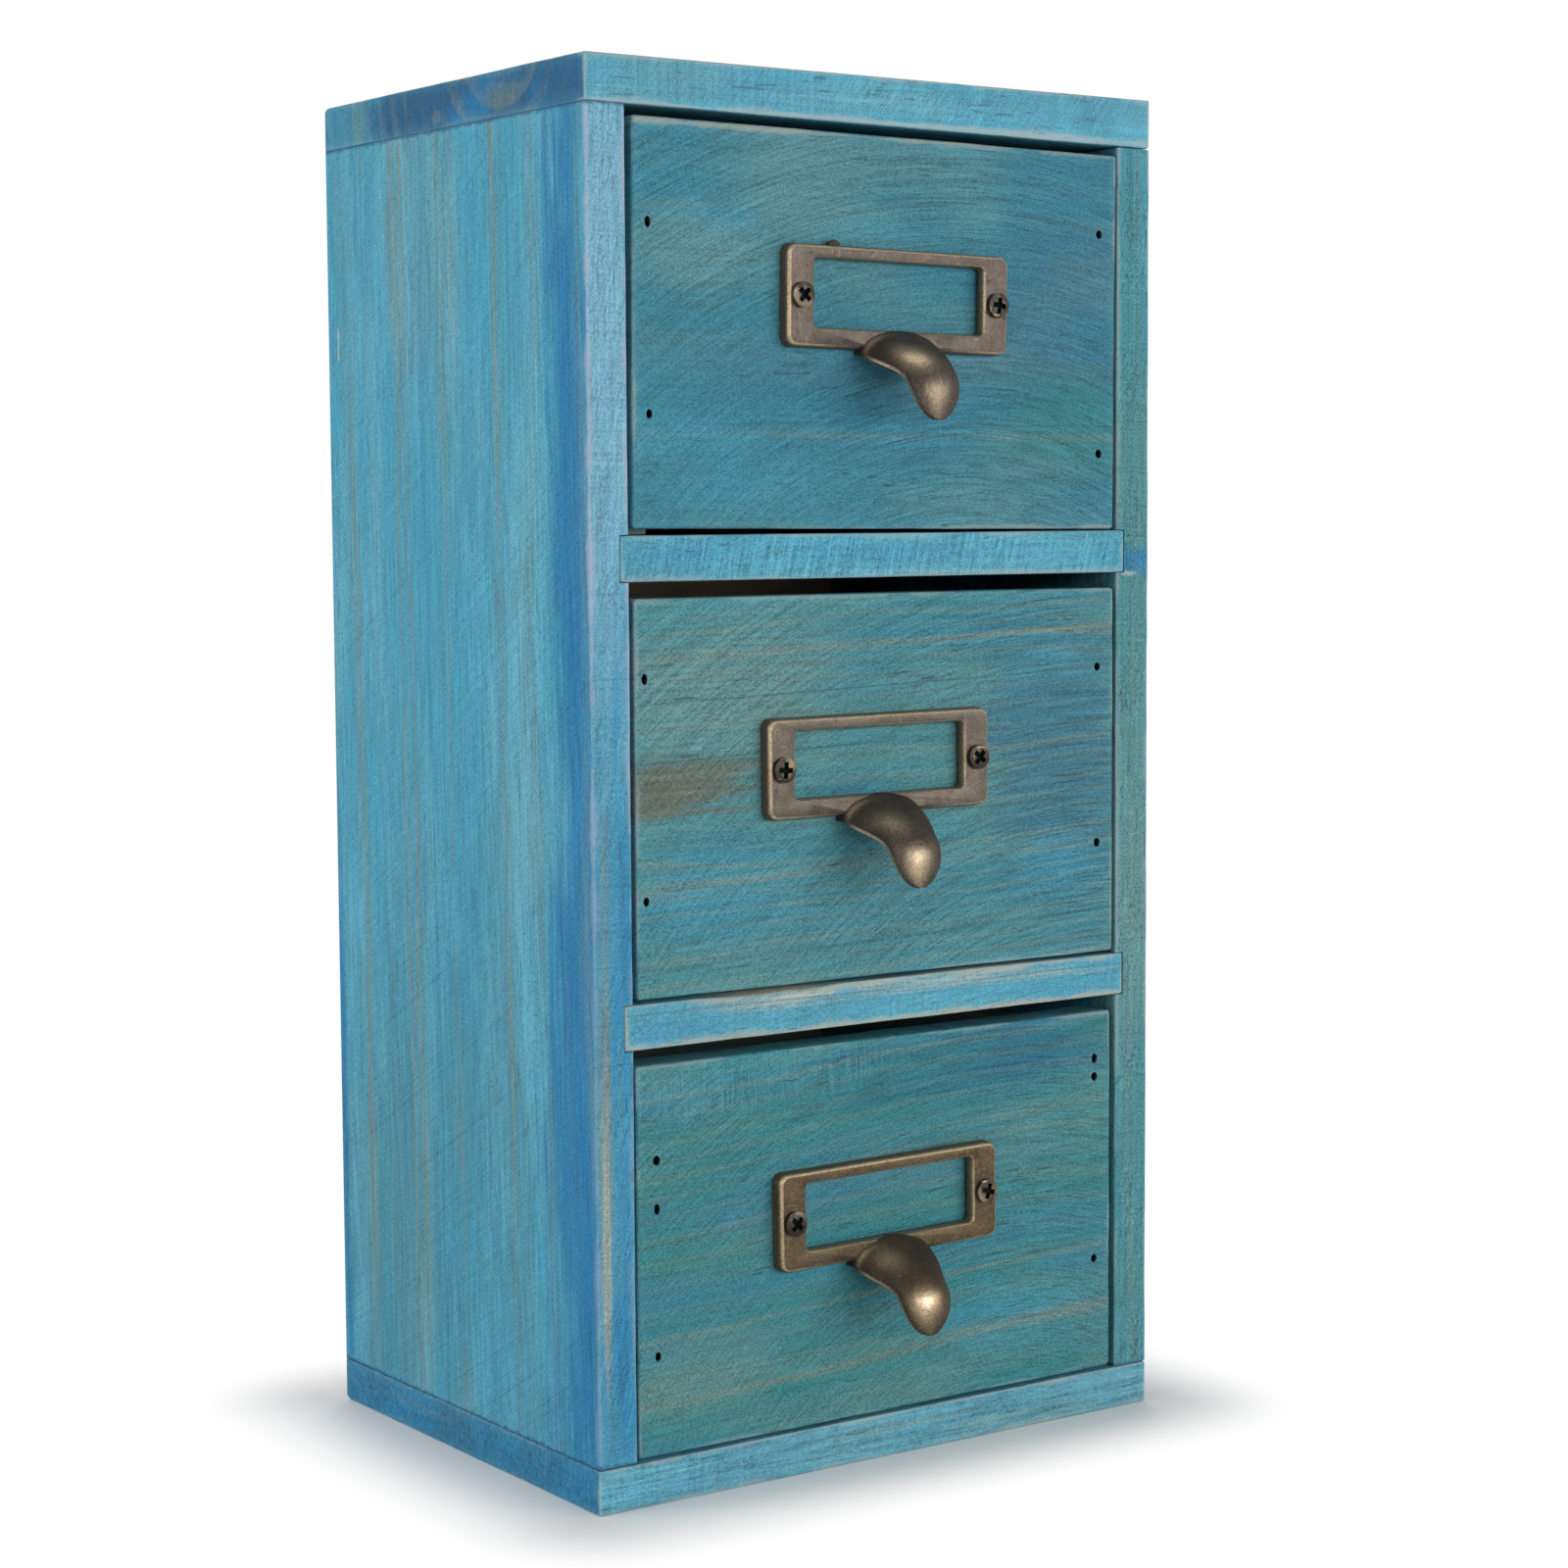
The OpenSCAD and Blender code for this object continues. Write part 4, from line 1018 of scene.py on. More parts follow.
CARCASS_LOOKS = {
    "left_side_board": pine_look(
        "Z", "Y", 1.0, lean=1.4, pith=(4.0, -62.0), rings=4.4, waver=5.0, ground="sky_stain", pool="pale_stain",
        late=0.34, thin=0.12, front=0.55, wear=1.2, wear_share=0.85, wear_tone="lavender", wear_from=(-40.0, 30.0, 0.4),
        hatch=(73.0, 0.6), seam=0.75, sander=(900.0, 520.0), sanding=0.25, cuts=0.04, fuzz=0.5, fibre=0.6,
        pool_range=(0.45, 0.75), pores=0.3,
        patches=(
            ("deep_stain", 0.7, (75.0, -41.0, 0.0), (75.0, 9.0, 60.0), 2.0),
            ("deep_stain", 0.7, (0.0, -44.0, 0.0), (160.0, 9.0, 60.0), 2.0),
            ("deep_stain", 0.75, (-80.0, -40.0, 0.0), (90.0, 13.0, 60.0), 2.0),
            ("deep_stain", 0.9, (-60.0, 47.3, 0.0), (110.0, 3.0, 60.0), 0.6),
            ("teal_stain", 0.55, (-85.0, 28.0, 0.0), (60.0, 26.0, 60.0), 1.4),
            ("teal_stain", 0.35, (-60.0, 0.0, 0.0), (70.0, 34.0, 60.0), 1.4),
            ("pale_stain", 0.55, (60.0, -31.0, 0.0), (90.0, 6.0, 60.0), 1.4),
        ),
        front_patches=(
            ("mist", 0.75, (85.0, -47.5, 0.0), (95.0, 20.0, 20.0), 0.8),
            ("latewood", 0.6, (-58.0, -47.5, 1.8), (62.0, 20.0, 1.8), 0.8),
            ("bare_wood", 0.45, (-78.0, -47.5, 2.0), (34.0, 20.0, 1.4), 0.8),
            ("deep_stain", 0.55, (-98.0, -47.5, -1.5), (20.0, 20.0, 3.0), 0.8),
            ("deep_stain", 0.45, (-20.0, -47.5, -2.5), (30.0, 20.0, 2.0), 0.8),
        ),
        streaks=(
            ("latewood", 0.55, 35.5, 2.2, 5.0),
            ("latewood", 0.50, 18.5, 1.6, 5.0),
            ("latewood", 0.55, 15.0, 2.2, 5.0),
            ("latewood", 0.45, 1.0, 1.2, 4.0),
            ("latewood", 0.75, -18.2, 1.2, 4.0),
            ("deep_stain", 0.45, -36.5, 1.2, 4.0),
            ("deep_stain", 0.55, -40.5, 0.8, 4.0),
            ("deep_stain", 0.3, 8.0, 1.2, 4.0),
        ),
    ),
    "right_side_board": pine_look(
        "Z", "Y", 2.0, lean=-0.6, pith=(-8.0, -44.0), rings=4.0, waver=6.0, ground="sky_stain", pool="teal_stain",
        late=0.4, thin=0.5, front=0.1, wear=0.9, wear_share=0.6, hatch=(68.0, 0.45), seam=0.6,
        sander=(700.0, -420.0), sanding=0.25, cuts=0.05, fuzz=0.7, fibre=0.6,
        patches=(
            ("olive", 0.75, (0.0, -47.0, 0.0), (170.0, 9.0, 40.0), 0.6),
            ("moss_stain", 0.6, (60.0, -47.0, 0.0), (90.0, 9.0, 40.0), 0.9),
            ("moss_stain", 0.6, (-80.0, -47.0, 0.0), (60.0, 9.0, 40.0), 0.9),
            ("deep_stain", 0.7, (39.0, -47.0, 0.0), (4.0, 9.0, 20.0), 0.3),
            ("worn_wood", 0.9, (36.6, -47.5, 1.0), (0.7, 3.0, 2.6), 0.3),
        ),
        streaks=(
            ("latewood", 0.5, 24.0, 4.0, 6.0),
            ("latewood", 0.5, -12.0, 2.4, 6.0),
            ("deep_stain", 0.5, 38.0, 3.0, 6.0),
        ),
    ),
    "top_board": pine_look(
        "X", "Y", 3.0, pith=(-20.0, 13.0), rings=5.2, waver=3.0, ground="sky_stain", pool="pale_stain",
        late=0.4, thin=0.35, front=0.55, end=0.95, end_late=0.6, wear=0.9, hatch=(52.0, 0.5),
        sander=(60.0, -320.0), sanding=0.5, cuts=0.08, fuzz=0.5, pores=0.35,
        patches=(("olive", 0.45, (-46.0, -47.0, 2.0), (18.0, 20.0, 4.0), 0.9),),
        end_patches=(
            ("ink_stain", 0.85, (-62.0, 6.0, 0.0), (30.0, 13.0, 20.0), 0.9),
            ("sky_stain", 0.6, (-62.0, 40.0, 0.0), (30.0, 18.0, 20.0), 1.0),
            ("olive", 0.5, (-62.0, 33.0, 0.0), (30.0, 5.0, 20.0), 1.4),
            ("latewood", 0.4, (-62.0, -21.0, 0.0), (30.0, 9.0, 3.4), 1.6),
            ("latewood", 0.4, (-62.0, 3.0, -2.0), (30.0, 3.0, 1.6), 1.2),
            ("ink_stain", 0.85, (-62.0, -42.0, 0.0), (30.0, 12.0, 20.0), 0.9),
        ),
    ),
    "bottom_board": pine_look(
        "X", "Y", 4.0, pith=(10.0, 24.0), rings=3.4, waver=5.0, ground="sky_stain", pool="pale_stain",
        late=0.5, thin=0.12, front=0.65, end=0.96, end_late=0.14, wear=0.9, hatch=(47.0, 0.3),
        sander=(40.0, -260.0), sanding=0.3, cuts=0.08, fuzz=0.45, fibre=1.1,
        patches=(
            ("deep_stain", 0.4, (-42.0, -47.0, -1.0), (26.0, 9.0, 5.0), 1.4),
            ("olive", 0.7, (34.0, -47.0, -1.5), (44.0, 9.0, 1.6), 1.4),
            ("latewood", 0.6, (10.0, -47.0, 1.4), (46.0, 9.0, 0.8), 1.2),
            ("latewood", 0.5, (26.0, -47.0, -3.4), (40.0, 9.0, 0.8), 1.2),
        ),
        end_patches=(
            ("sky_stain", 0.3, (-62.0, 0.0, 0.0), (40.0, 90.0, 30.0), 0.4),
            ("latewood", 0.2, (-62.0, 18.0, 1.0), (30.0, 22.0, 0.9), 1.0),
        ),
        streaks=(("latewood", 0.6, -47.2, 0.6, 0.3),),
    ),
    "upper_shelf": pine_look(
        "X", "Z", 5.0, pith=(-14.0, -18.0), rings=3.8, waver=4.0, ground="sky_stain", pool="pale_stain",
        late=0.35, thin=0.25, front=0.6, end=0.5, wear=1.1, wear_share=0.6, hatch=(76.0, 1.0),
        sander=(70.0, -260.0), sanding=0.3, cuts=0.08, fuzz=0.5, pores=0.35,
        patches=(
            ("deep_stain", 0.45, (-46.0, -1.0, 46.0), (13.0, 5.0, 40.0), 0.8),
            ("deep_stain", 0.35, (2.0, 0.0, 46.0), (26.0, 3.0, 40.0), 1.0),
            ("bare_wood", 0.35, (20.0, -3.7, 47.0), (60.0, 1.1, 12.0), 0.8),
        ),
    ),
    "lower_shelf": pine_look(
        "X", "Z", 6.0, pith=(-16.0, -22.0), rings=3.0, waver=4.0, ground="sky_stain", pool="pale_stain",
        late=0.3, thin=0.1, front=0.6, end=0.5, wear=1.5, wear_share=0.75, wear_tone="bare_wood", hatch=(82.0, 0.25),
        sander=(70.0, -240.0), sanding=0.3, cuts=0.08, fuzz=0.45, pores=0.4,
        patches=(
            ("deep_stain", 0.5, (-46.0, -1.6, 45.0), (16.0, 4.0, 40.0), 0.7),
            ("bare_wood", 0.62, (14.0, 2.4, 47.0), (66.0, 2.6, 12.0), 1.4),
            ("bare_wood", 1.0, (-26.0, 3.0, 47.0), (20.0, 2.8, 12.0), 1.0),
            ("sky_stain", 0.8, (-9.0, 2.6, 47.0), (3.4, 1.8, 12.0), 0.8),
            ("bare_wood", 0.6, (15.0, -3.9, 47.0), (70.0, 1.3, 12.0), 0.8),
        ),
        streaks=(
            ("fibre_dark", 0.8, 2.0, 0.3, 1.2),
            ("fibre_dark", 0.6, 0.4, 0.2, 1.5),
            ("latewood", 0.5, 1.2, 0.6, 1.5),
        ),
    ),
}

FRONT_LOOKS = {
    "top": pine_look(
        "X", "Z", 11.0, pith=(-30.0, -46.0), rings=6.5, waver=12.0, ground="teal_stain", pool="sky_stain",
        late=0.14, thin=0.35, wear=0.7, wear_share=0.5, wear_tone="bare_wood", rim=0.14, pores=0.25,
        sander=(19.0, -102.0), sanding=0.8, cuts=0.12, fuzz=0.5, fibre=0.25, pool_range=(0.54, 0.9),
        patches=(
            ("olive", 0.4, (-18.0, 26.0, 4.0), (22.0, 12.0, 20.0), 0.8),
            ("olive", 0.45, (-42.0, 13.0, 4.0), (18.0, 11.0, 20.0), 0.8),
            ("olive", 0.35, (40.0, -20.0, 4.0), (26.0, 9.0, 20.0), 0.9),
            ("ink_stain", 0.3, (42.0, 0.0, 4.0), (28.0, 44.0, 20.0), 0.8),
            ("moss_stain", 0.7, (42.0, -16.0, 4.0), (28.0, 16.0, 20.0), 1.0),
            ("ink_stain", 0.2, (-4.0, -10.0, 4.0), (52.0, 16.0, 20.0), 1.0),
            ("sky_stain", 0.3, (-30.0, -27.0, 4.0), (28.0, 7.0, 20.0), 0.8),
        ),
        streaks=(
            ("fibre_dark", 0.45, 13.5, 0.22, 2.0),
            ("fibre_dark", 0.5, -16.0, 0.25, 3.0),
            ("latewood", 0.5, -18.0, 1.2, 4.0),
        ),
    ),
    "middle": pine_look(
        "X", "Z", 12.0, lean=2.0, pith=(-52.0, -26.0), rings=2.6, waver=9.0, ground="grey_stain", pool="teal_stain",
        late=0.55, thin=0.3, wear=0.8, wear_share=0.65, rim=0.1, pores=0.6,
        sander=(45.0, -110.0), sanding=0.75, cuts=0.14, fuzz=0.55, fibre=0.5,
        patches=(
            ("olive", 0.7, (-34.0, 18.0, 4.0), (36.0, 18.0, 20.0), 0.8),
            ("smudge", 0.85, (-41.0, 5.0, 4.0), (24.0, 7.0, 20.0), 1.8),
            ("smudge", 0.95, (-50.0, 3.0, 4.0), (14.0, 7.0, 20.0), 1.2),
            ("ink_stain", 0.44, (42.0, 4.0, 4.0), (28.0, 34.0, 20.0), 1.0),
            ("sky_stain", 0.25, (38.0, 20.0, 4.0), (14.0, 7.0, 20.0), 1.1),
            ("teal_stain", 0.6, (4.0, -24.0, 4.0), (60.0, 12.0, 20.0), 1.1),
            ("sky_stain", 0.4, (-36.0, -16.0, 4.0), (26.0, 12.0, 20.0), 1.1),
            ("sky_stain", 0.4, (40.0, -18.0, 4.0), (16.0, 8.0, 20.0), 1.1),
        ),
        streaks=(
            ("fibre_dark", 0.55, 18.0, 0.3, 2.0),
            ("fibre_dark", 0.6, 8.0, 0.35, 2.0),
            ("fibre_dark", 0.45, -6.0, 0.25, 3.0),
            ("latewood", 0.6, 26.0, 1.2, 3.0),
            ("latewood", 0.6, -14.0, 1.5, 4.0),
            ("latewood", 0.35, -26.0, 1.0, 5.0),
            ("fibre_dark", 0.4, -28.0, 0.6, 5.0),
        ),
    ),
    "bottom": pine_look(
        "X", "Z", 13.0, lean=2.0, pith=(-44.0, -34.0), rings=3.4, waver=8.0, ground="moss_stain", pool="teal_stain",
        late=0.4, thin=0.25, wear=0.8, wear_share=0.6, rim=0.1, pores=0.55,
        sander=(25.0, -85.0), sanding=0.75, cuts=0.12, fuzz=0.55, fibre=0.45,
        chatter=(1.2, (-26.0, 31.0, 4.0), (40.0, 8.0, 20.0)),
        patches=(
            ("ink_stain", 0.75, (16.0, 28.0, 4.0), (54.0, 11.0, 20.0), 0.9),
            ("moss_stain", 0.6, (6.0, 26.0, 4.0), (60.0, 14.0, 20.0), 0.9),
            ("olive", 0.45, (-40.0, -20.0, 4.0), (24.0, 12.0, 20.0), 0.9),
            ("sky_stain", 0.3, (30.0, -22.0, 4.0), (26.0, 10.0, 20.0), 0.9),
            ("olive", 0.3, (0.0, -30.0, 4.0), (60.0, 5.0, 20.0), 0.9),
        ),
        streaks=(
            ("fibre_dark", 0.6, 4.5, 0.3, 2.0),
            ("fibre_dark", 0.5, -1.0, 0.28, 3.0),
            ("latewood", 0.6, -12.0, 1.0, 3.0),
            ("latewood", 0.6, -24.0, 1.4, 3.0),
            ("latewood", 0.4, 16.0, 1.2, 3.0),
        ),
    ),
}


# First seed of each kind of piece
SEEDS = {
    "carcass": 20.0,
    "back_panel": 31.0,
    "fronts": 40.0,
    "drawer_sides": 50.0,
    "drawer_backs": 70.0,
    "drawer_floors": 80.0,
    "pulls": 90.0,
    "screws": 97.0,
    "brads": 98.0,
    "pins": 99.0,
}


def thin_board(node, look):
    """Thin washed pine board of a drawer box, still to be cut and placed."""
    board = new_object("thin_" + node, plank_mesh(node, *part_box(node), sizes().thin_arris, look["seed"]))
    board.data.materials.append(thin_pine("wash_" + node, node, look))
    return board


def plywood_board(node, body, look):
    """Plywood panel, finished and placed."""
    board = new_object("plywood_" + node, plank_mesh(node, *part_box(node), sizes().thin_arris, look["seed"]))
    board.data.materials.append(plywood("veneer_" + node, node, look))
    smooth(board)
    place_piece(board, body, "thin_plywood", node)


# Chips on the lower shelf's upper front arris: place across, reach and push, in metres
SHELF_CHIPS = (
    (-0.030, (0.012, 0.0016, 0.0016), (0, 0.0004, -0.0005)),
    (-0.017, (0.005, 0.0014, 0.0014), (0, 0.0003, -0.0006)),
)
# Slit in the left side board: place back and up, and half sizes, in metres
SLIT_PLACE = (0.0427, 0.2052)
SLIT_SIZE = (0.0004, 0.0005, 0.0032)


class OrganizerCarcass(bpy.types.Operator):
    """Top, bottom and side boards with their housings, and the two shelves"""

    bl_idname = "organizer.carcass"
    bl_label = "Carcass Boards"

    def execute(self, context):
        size = sizes()
        shelves = [grown(node, size.joint_line) for node in ("upper_shelf", "lower_shelf")]
        panel = grown("back_panel", size.joint_line)
        shelf_low, shelf_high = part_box("lower_shelf")
        chips = [((across, shelf_low[1], shelf_high[2]), reach, push) for across, reach, push in SHELF_CHIPS]
        for number, (node, look) in enumerate(CARCASS_LOOKS.items()):
            low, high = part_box(node)
            board_chips = chips if node == "lower_shelf" else ()
            if node == "right_side_board":
                high = high - Vector((0, 0, size.top_extra_right))
            mesh = plank_mesh(node, low, high, size.arris, SEEDS["carcass"] + number, board_chips)
            board = new_object("stained_" + node, mesh)
            if node == "top_board":
                self.thicken(board.data, low, high)
            board.data.materials.append(stained_pine("stain_" + node, node, look))
            if "side" in node:
                for shelf in shelves:
                    below, above = (shelf[0][0], -THROUGH, shelf[0][2]), (shelf[1][0], THROUGH, shelf[1][2])
                    carve(board, box_mesh("housing", below, above))
            if "shelf" not in node:
                carve(board, box_mesh("rebate", panel[0], panel[1] + Vector((0, OVERCUT, 0))))
                self.round_back(board, node, low, high)
            if node == "left_side_board":
                self.dent(board, low)
            if node in ("top_board", "bottom_board"):
                sign = 1 if node == "top_board" else -1
                surface = high[2] if sign > 0 else low[2]
                carve(board, brad_pits("pits", "carcass_brads", (0, 0, sign), surface))
            smooth(board)
            place_piece(board, "carcass", "stained_pine", node)
        return {"FINISHED"}

    def thicken(self, mesh, low, high):
        """Lets the top board's underside fall towards its right end."""
        s = sizes()
        for vert in mesh.vertices:
            if vert.co[2] < (low[2] + high[2]) / 2:
                share = (vert.co[0] - low[0]) / (high[0] - low[0])
                vert.co[2] -= s.top_extra_left + (s.top_extra_right - s.top_extra_left) * share

    def round_back(self, board, node, low, high):
        """Rounds the outer back edges."""
        radius = sizes().back_round
        lift = Vector((0, 0, 2 * THROUGH))
        if "side" in node:
            turn = 1 if node.startswith("left") else -1
            corner = (low[0] if turn > 0 else high[0], high[1], (low[2] + high[2]) / 2)
            carve(board, rounding_waste("waste", corner, (turn, 0, 0), (0, -1, 0), lift, radius))
            return
        for turn in (1, -1):
            corner = (low[0] if turn > 0 else high[0], high[1], low[2])
            carve(board, rounding_waste("waste", corner, (turn, 0, 0), (0, -1, 0), lift, radius))
        outer = (high[2], -1) if node == "top_board" else (low[2], 1)
        corner, along = (0, high[1], outer[0]), (THROUGH, 0, 0)
        carve(board, rounding_waste("waste", corner, (0, -1, 0), (0, 0, outer[1]), along, sizes().end_round))

    def dent(self, board, low):
        """A short slit knocked into the left side board near its back edge."""
        work = bmesh.new()
        bmesh.ops.create_icosphere(work, subdivisions=3, radius=1.0)
        shape = Matrix.Translation((low[0], *SLIT_PLACE)) @ Matrix.Diagonal((*SLIT_SIZE, 1.0))
        bmesh.ops.transform(work, matrix=shape, verts=work.verts)
        mesh = mesh_of("slit", work)
        mesh.materials.append(bare_splinter())
        carve(board, mesh)


class OrganizerBackPanel(bpy.types.Operator):
    """Plywood back panel in its rebate"""

    bl_idname = "organizer.back_panel"
    bl_label = "Back Panel"

    def execute(self, context):
        look = pine_look("Z", "X", SEEDS["back_panel"], pith=(5.0, -90.0), rings=9.0, waver=16.0)
        plywood_board("back_panel", "carcass", look)
        return {"FINISHED"}


class OrganizerFronts(bpy.types.Operator):
    """Drawer fronts with their brad pits"""

    bl_idname = "organizer.drawer_fronts"
    bl_label = "Drawer Fronts"

    def execute(self, context):
        size = sizes()
        for number, level in enumerate(LEVELS):
            node = level + "_drawer_front"
            low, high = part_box(node)
            turn, rise = (size.top_front_turn, size.top_front_rise) if level == "top" else (0.0, 0.0)
            top = high + Vector((0, 0, rise))
            mesh = plank_mesh(node, low, top, size.arris * FRONT_ARRIS, SEEDS["fronts"] + number)
            centre = Matrix.Translation((low + high) / 2)
            mesh.transform(centre @ Matrix.Rotation(turn, 4, "Y") @ centre.inverted())
            board = new_object("stained_" + node, mesh)
            board.data.materials.append(stained_pine("stain_" + node, node, FRONT_LOOKS[level]))
            carve(board, brad_pits("pits", level + "_front_brads", (0, -1, 0), low[1]))
            smooth(board)
            place_piece(board, level + "_drawer", "stained_pine", node)
        return {"FINISHED"}


class OrganizerBoxes(bpy.types.Operator):
    """Sides, backs and plywood floors of the drawers"""

    bl_idname = "organizer.drawer_boxes"
    bl_label = "Drawer Boxes"

    def execute(self, context):
        size = sizes()
        for number, level in enumerate(LEVELS):
            body = level + "_drawer"
            groove, past = grown(body + "_floor", size.joint_line), Vector((0, OVERCUT, 0))
            for turn, side in ((-1, "left"), (1, "right")):
                node = f"{body}_{side}_side"
                low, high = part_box(node)
                seed = SEEDS["drawer_sides"] + 5 * number + turn
                look = pine_look("Y", "Z", seed, pith=(-12.0, -26.0 * turn), rings=3.6, waver=7.0)
                board = thin_board(node, look)
                carve(board, box_mesh("groove", groove[0] - past, groove[1] + past))
                surface = low[0] if turn < 0 else high[0]
                carve(board, brad_pits("pits", level + "_back_brads", (turn, 0, 0), surface))
                smooth(board)
                place_piece(board, body, "thin_stained_pine", node)
            node = body + "_back"
            look = pine_look("X", "Z", SEEDS["drawer_backs"] + number, pith=(-8.0, -30.0), rings=3.2, waver=7.0)
            board = thin_board(node, look)
            smooth(board)
            place_piece(board, body, "thin_stained_pine", node)
            look = pine_look("X", "Y", SEEDS["drawer_floors"] + number, pith=(4.0, -70.0), rings=8.0, waver=14.0)
            plywood_board(body + "_floor", body, look)
        return {"FINISHED"}


def rounded_outline(width, height, radius, rise, turns=8):
    """Points of a rectangle with round corners, anticlockwise from its lower right."""
    points = []
    for corner, (side, end) in enumerate(((1, -1), (1, 1), (-1, 1), (-1, -1))):
        across, up = side * (width / 2 - radius), rise + end * (height / 2 - radius)
        for k in range(turns + 1):
            angle = math.radians(90 * (corner - 1 + k / turns))
            points.append((across + radius * math.cos(angle), up + radius * math.sin(angle)))
    return points


def loop_mesh(name, rings, rub_and_highlight, painted_shade, closed):
    """Skin over rings of points, with each point's brightening, from rubbing and painted highlights, and its painted
    shade.
    """
    count = len(rings[0])
    points = [p for ring in rings for p in ring]
    last = len(rings) if closed else len(rings) - 1
    faces = []
    for k in range(last):
        here, there = k * count, (k + 1) % len(rings) * count
        faces += [(here + i, here + (i + 1) % count, there + (i + 1) % count, there + i) for i in range(count)]
    if not closed:
        half = count // 2
        for start in (0, (len(rings) - 1) * count):
            faces += [(start + i, start + i + 1, start + count - 2 - i, start + count - 1 - i) for i in range(half - 1)]
    mesh = mesh_from(name, points, faces)
    for label, numbers in (("rub_and_highlight", rub_and_highlight), ("painted_shade", painted_shade)):
        mesh.attributes.new(label, "FLOAT", "POINT").data.foreach_set("value", numbers)
    tidy_normals(mesh)
    return mesh


# Rounded edges round the frame and its window: angle in degrees and how far it is rubbed bright there, partly real
# rubbing and partly painted highlight lines
FRAME_EDGE = ((0, 0.1), (15, 0.1), (32, 0.2), (50, 0.6), (66, 0.9), (80, 0.5), (90, 0.0))
WINDOW_EDGE = ((90, 0.0), (80, 0.4), (60, 0.75), (42, 0.6), (20, 0.4), (0, 0.3))
# The window's rounding against the frame's
WINDOW_LIP = 0.7


def frame_mesh():
    """Cast label frame: outer wall, rounded face, window lip and the hollow behind it."""
    s = sizes()
    rings, rub_and_highlight = [], []

    def ring(width, height, radius, rise, depth, bright):
        rings.append([(u, w, depth) for u, w in rounded_outline(width, height, radius, rise)])
        rub_and_highlight.extend([bright] * len(rings[-1]))

    edge, fall = s.frame_round, s.frame_fall
    ring(s.frame_w, s.frame_h, s.frame_r, 0, 0, 0.1)
    for angle, bright in FRAME_EDGE:
        inset = edge * (1 - math.cos(math.radians(angle)))
        depth = s.frame_t - fall + fall * math.sin(math.radians(angle))
        ring(s.frame_w - 2 * inset, s.frame_h - 2 * inset, s.frame_r - inset / 2, 0, depth, bright)
    window_w, window_h = s.frame_w - 2 * s.stile_w, s.frame_h - s.upper_rail - s.lower_rail
    rise = (s.lower_rail - s.upper_rail) / 2
    lip = edge * WINDOW_LIP
    for angle, bright in WINDOW_EDGE:
        grow = lip * (1 - math.cos(math.radians(angle)))
        depth = s.frame_t - fall + fall * math.sin(math.radians(angle))
        ring(window_w + 2 * grow, window_h + 2 * grow, s.window_r + grow, rise, depth, bright)
    roof = s.frame_t - s.cast_t
    behind = (window_w + 2 * s.flange_t, window_h + 2 * s.flange_t, s.window_r + s.flange_t, rise)
    ring(window_w, window_h, s.window_r, rise, s.flange, 0.0)
    ring(*behind, s.flange, 0.0)
    ring(*behind, roof, 0.0)
    hollow = (s.frame_w - 2 * s.cast_t, s.frame_h - 2 * s.cast_t, min(s.window_r, s.frame_r), 0)
    ring(*hollow, roof, 0.0)
    ring(*hollow, 0, 0.0)
    count = len(rings[0])
    # Painted shade: darker on the outer wall, fading up its rounding, and at the window wall's foot and in the hollow
    # behind
    outer, inner = [0.6] * count + [0.5] * count + [0.2] * count, [0.6] * count + [0.9] * (4 * count)
    painted_shade = outer + [0.0] * (count * len(rings) - len(outer) - len(inner)) + inner
    return loop_mesh("label_frame", rings, rub_and_highlight, painted_shade, True)


def bezier(points, t):
    weights = ((1 - t) ** 3, 3 * (1 - t) ** 2 * t, 3 * (1 - t) * t * t, t**3)
    return sum(w * np.array(p) for w, p in zip(weights, points))


def ease(value, low, high):
    share = min(max((value - low) / (high - low), 0.0), 1.0)
    return share * share * (3 - 2 * share)


# Inner points of the thumb's rim and crest curves, as shares of its reach and drop
RIM_BENDS = ((0.64, 0.31), (0.89, 0.31))
CREST_BENDS = ((0.69, 0.07), (1.34, 0.07))
# Each thumb's painted highlights: the upper spot (strength, place), how far its flank is cleared of painted shade, and
# the spot near the tip (place, strength)
THUMB_GLOW = {
    "top": (1.8, 0.43, 0.45, 0.9, 0.5),
    "middle": (0.5, 0.38, 0.25, 0.86, 1.0),
    "bottom": (0.4, 0.22, 0.35, 0.78, 1.15),
}


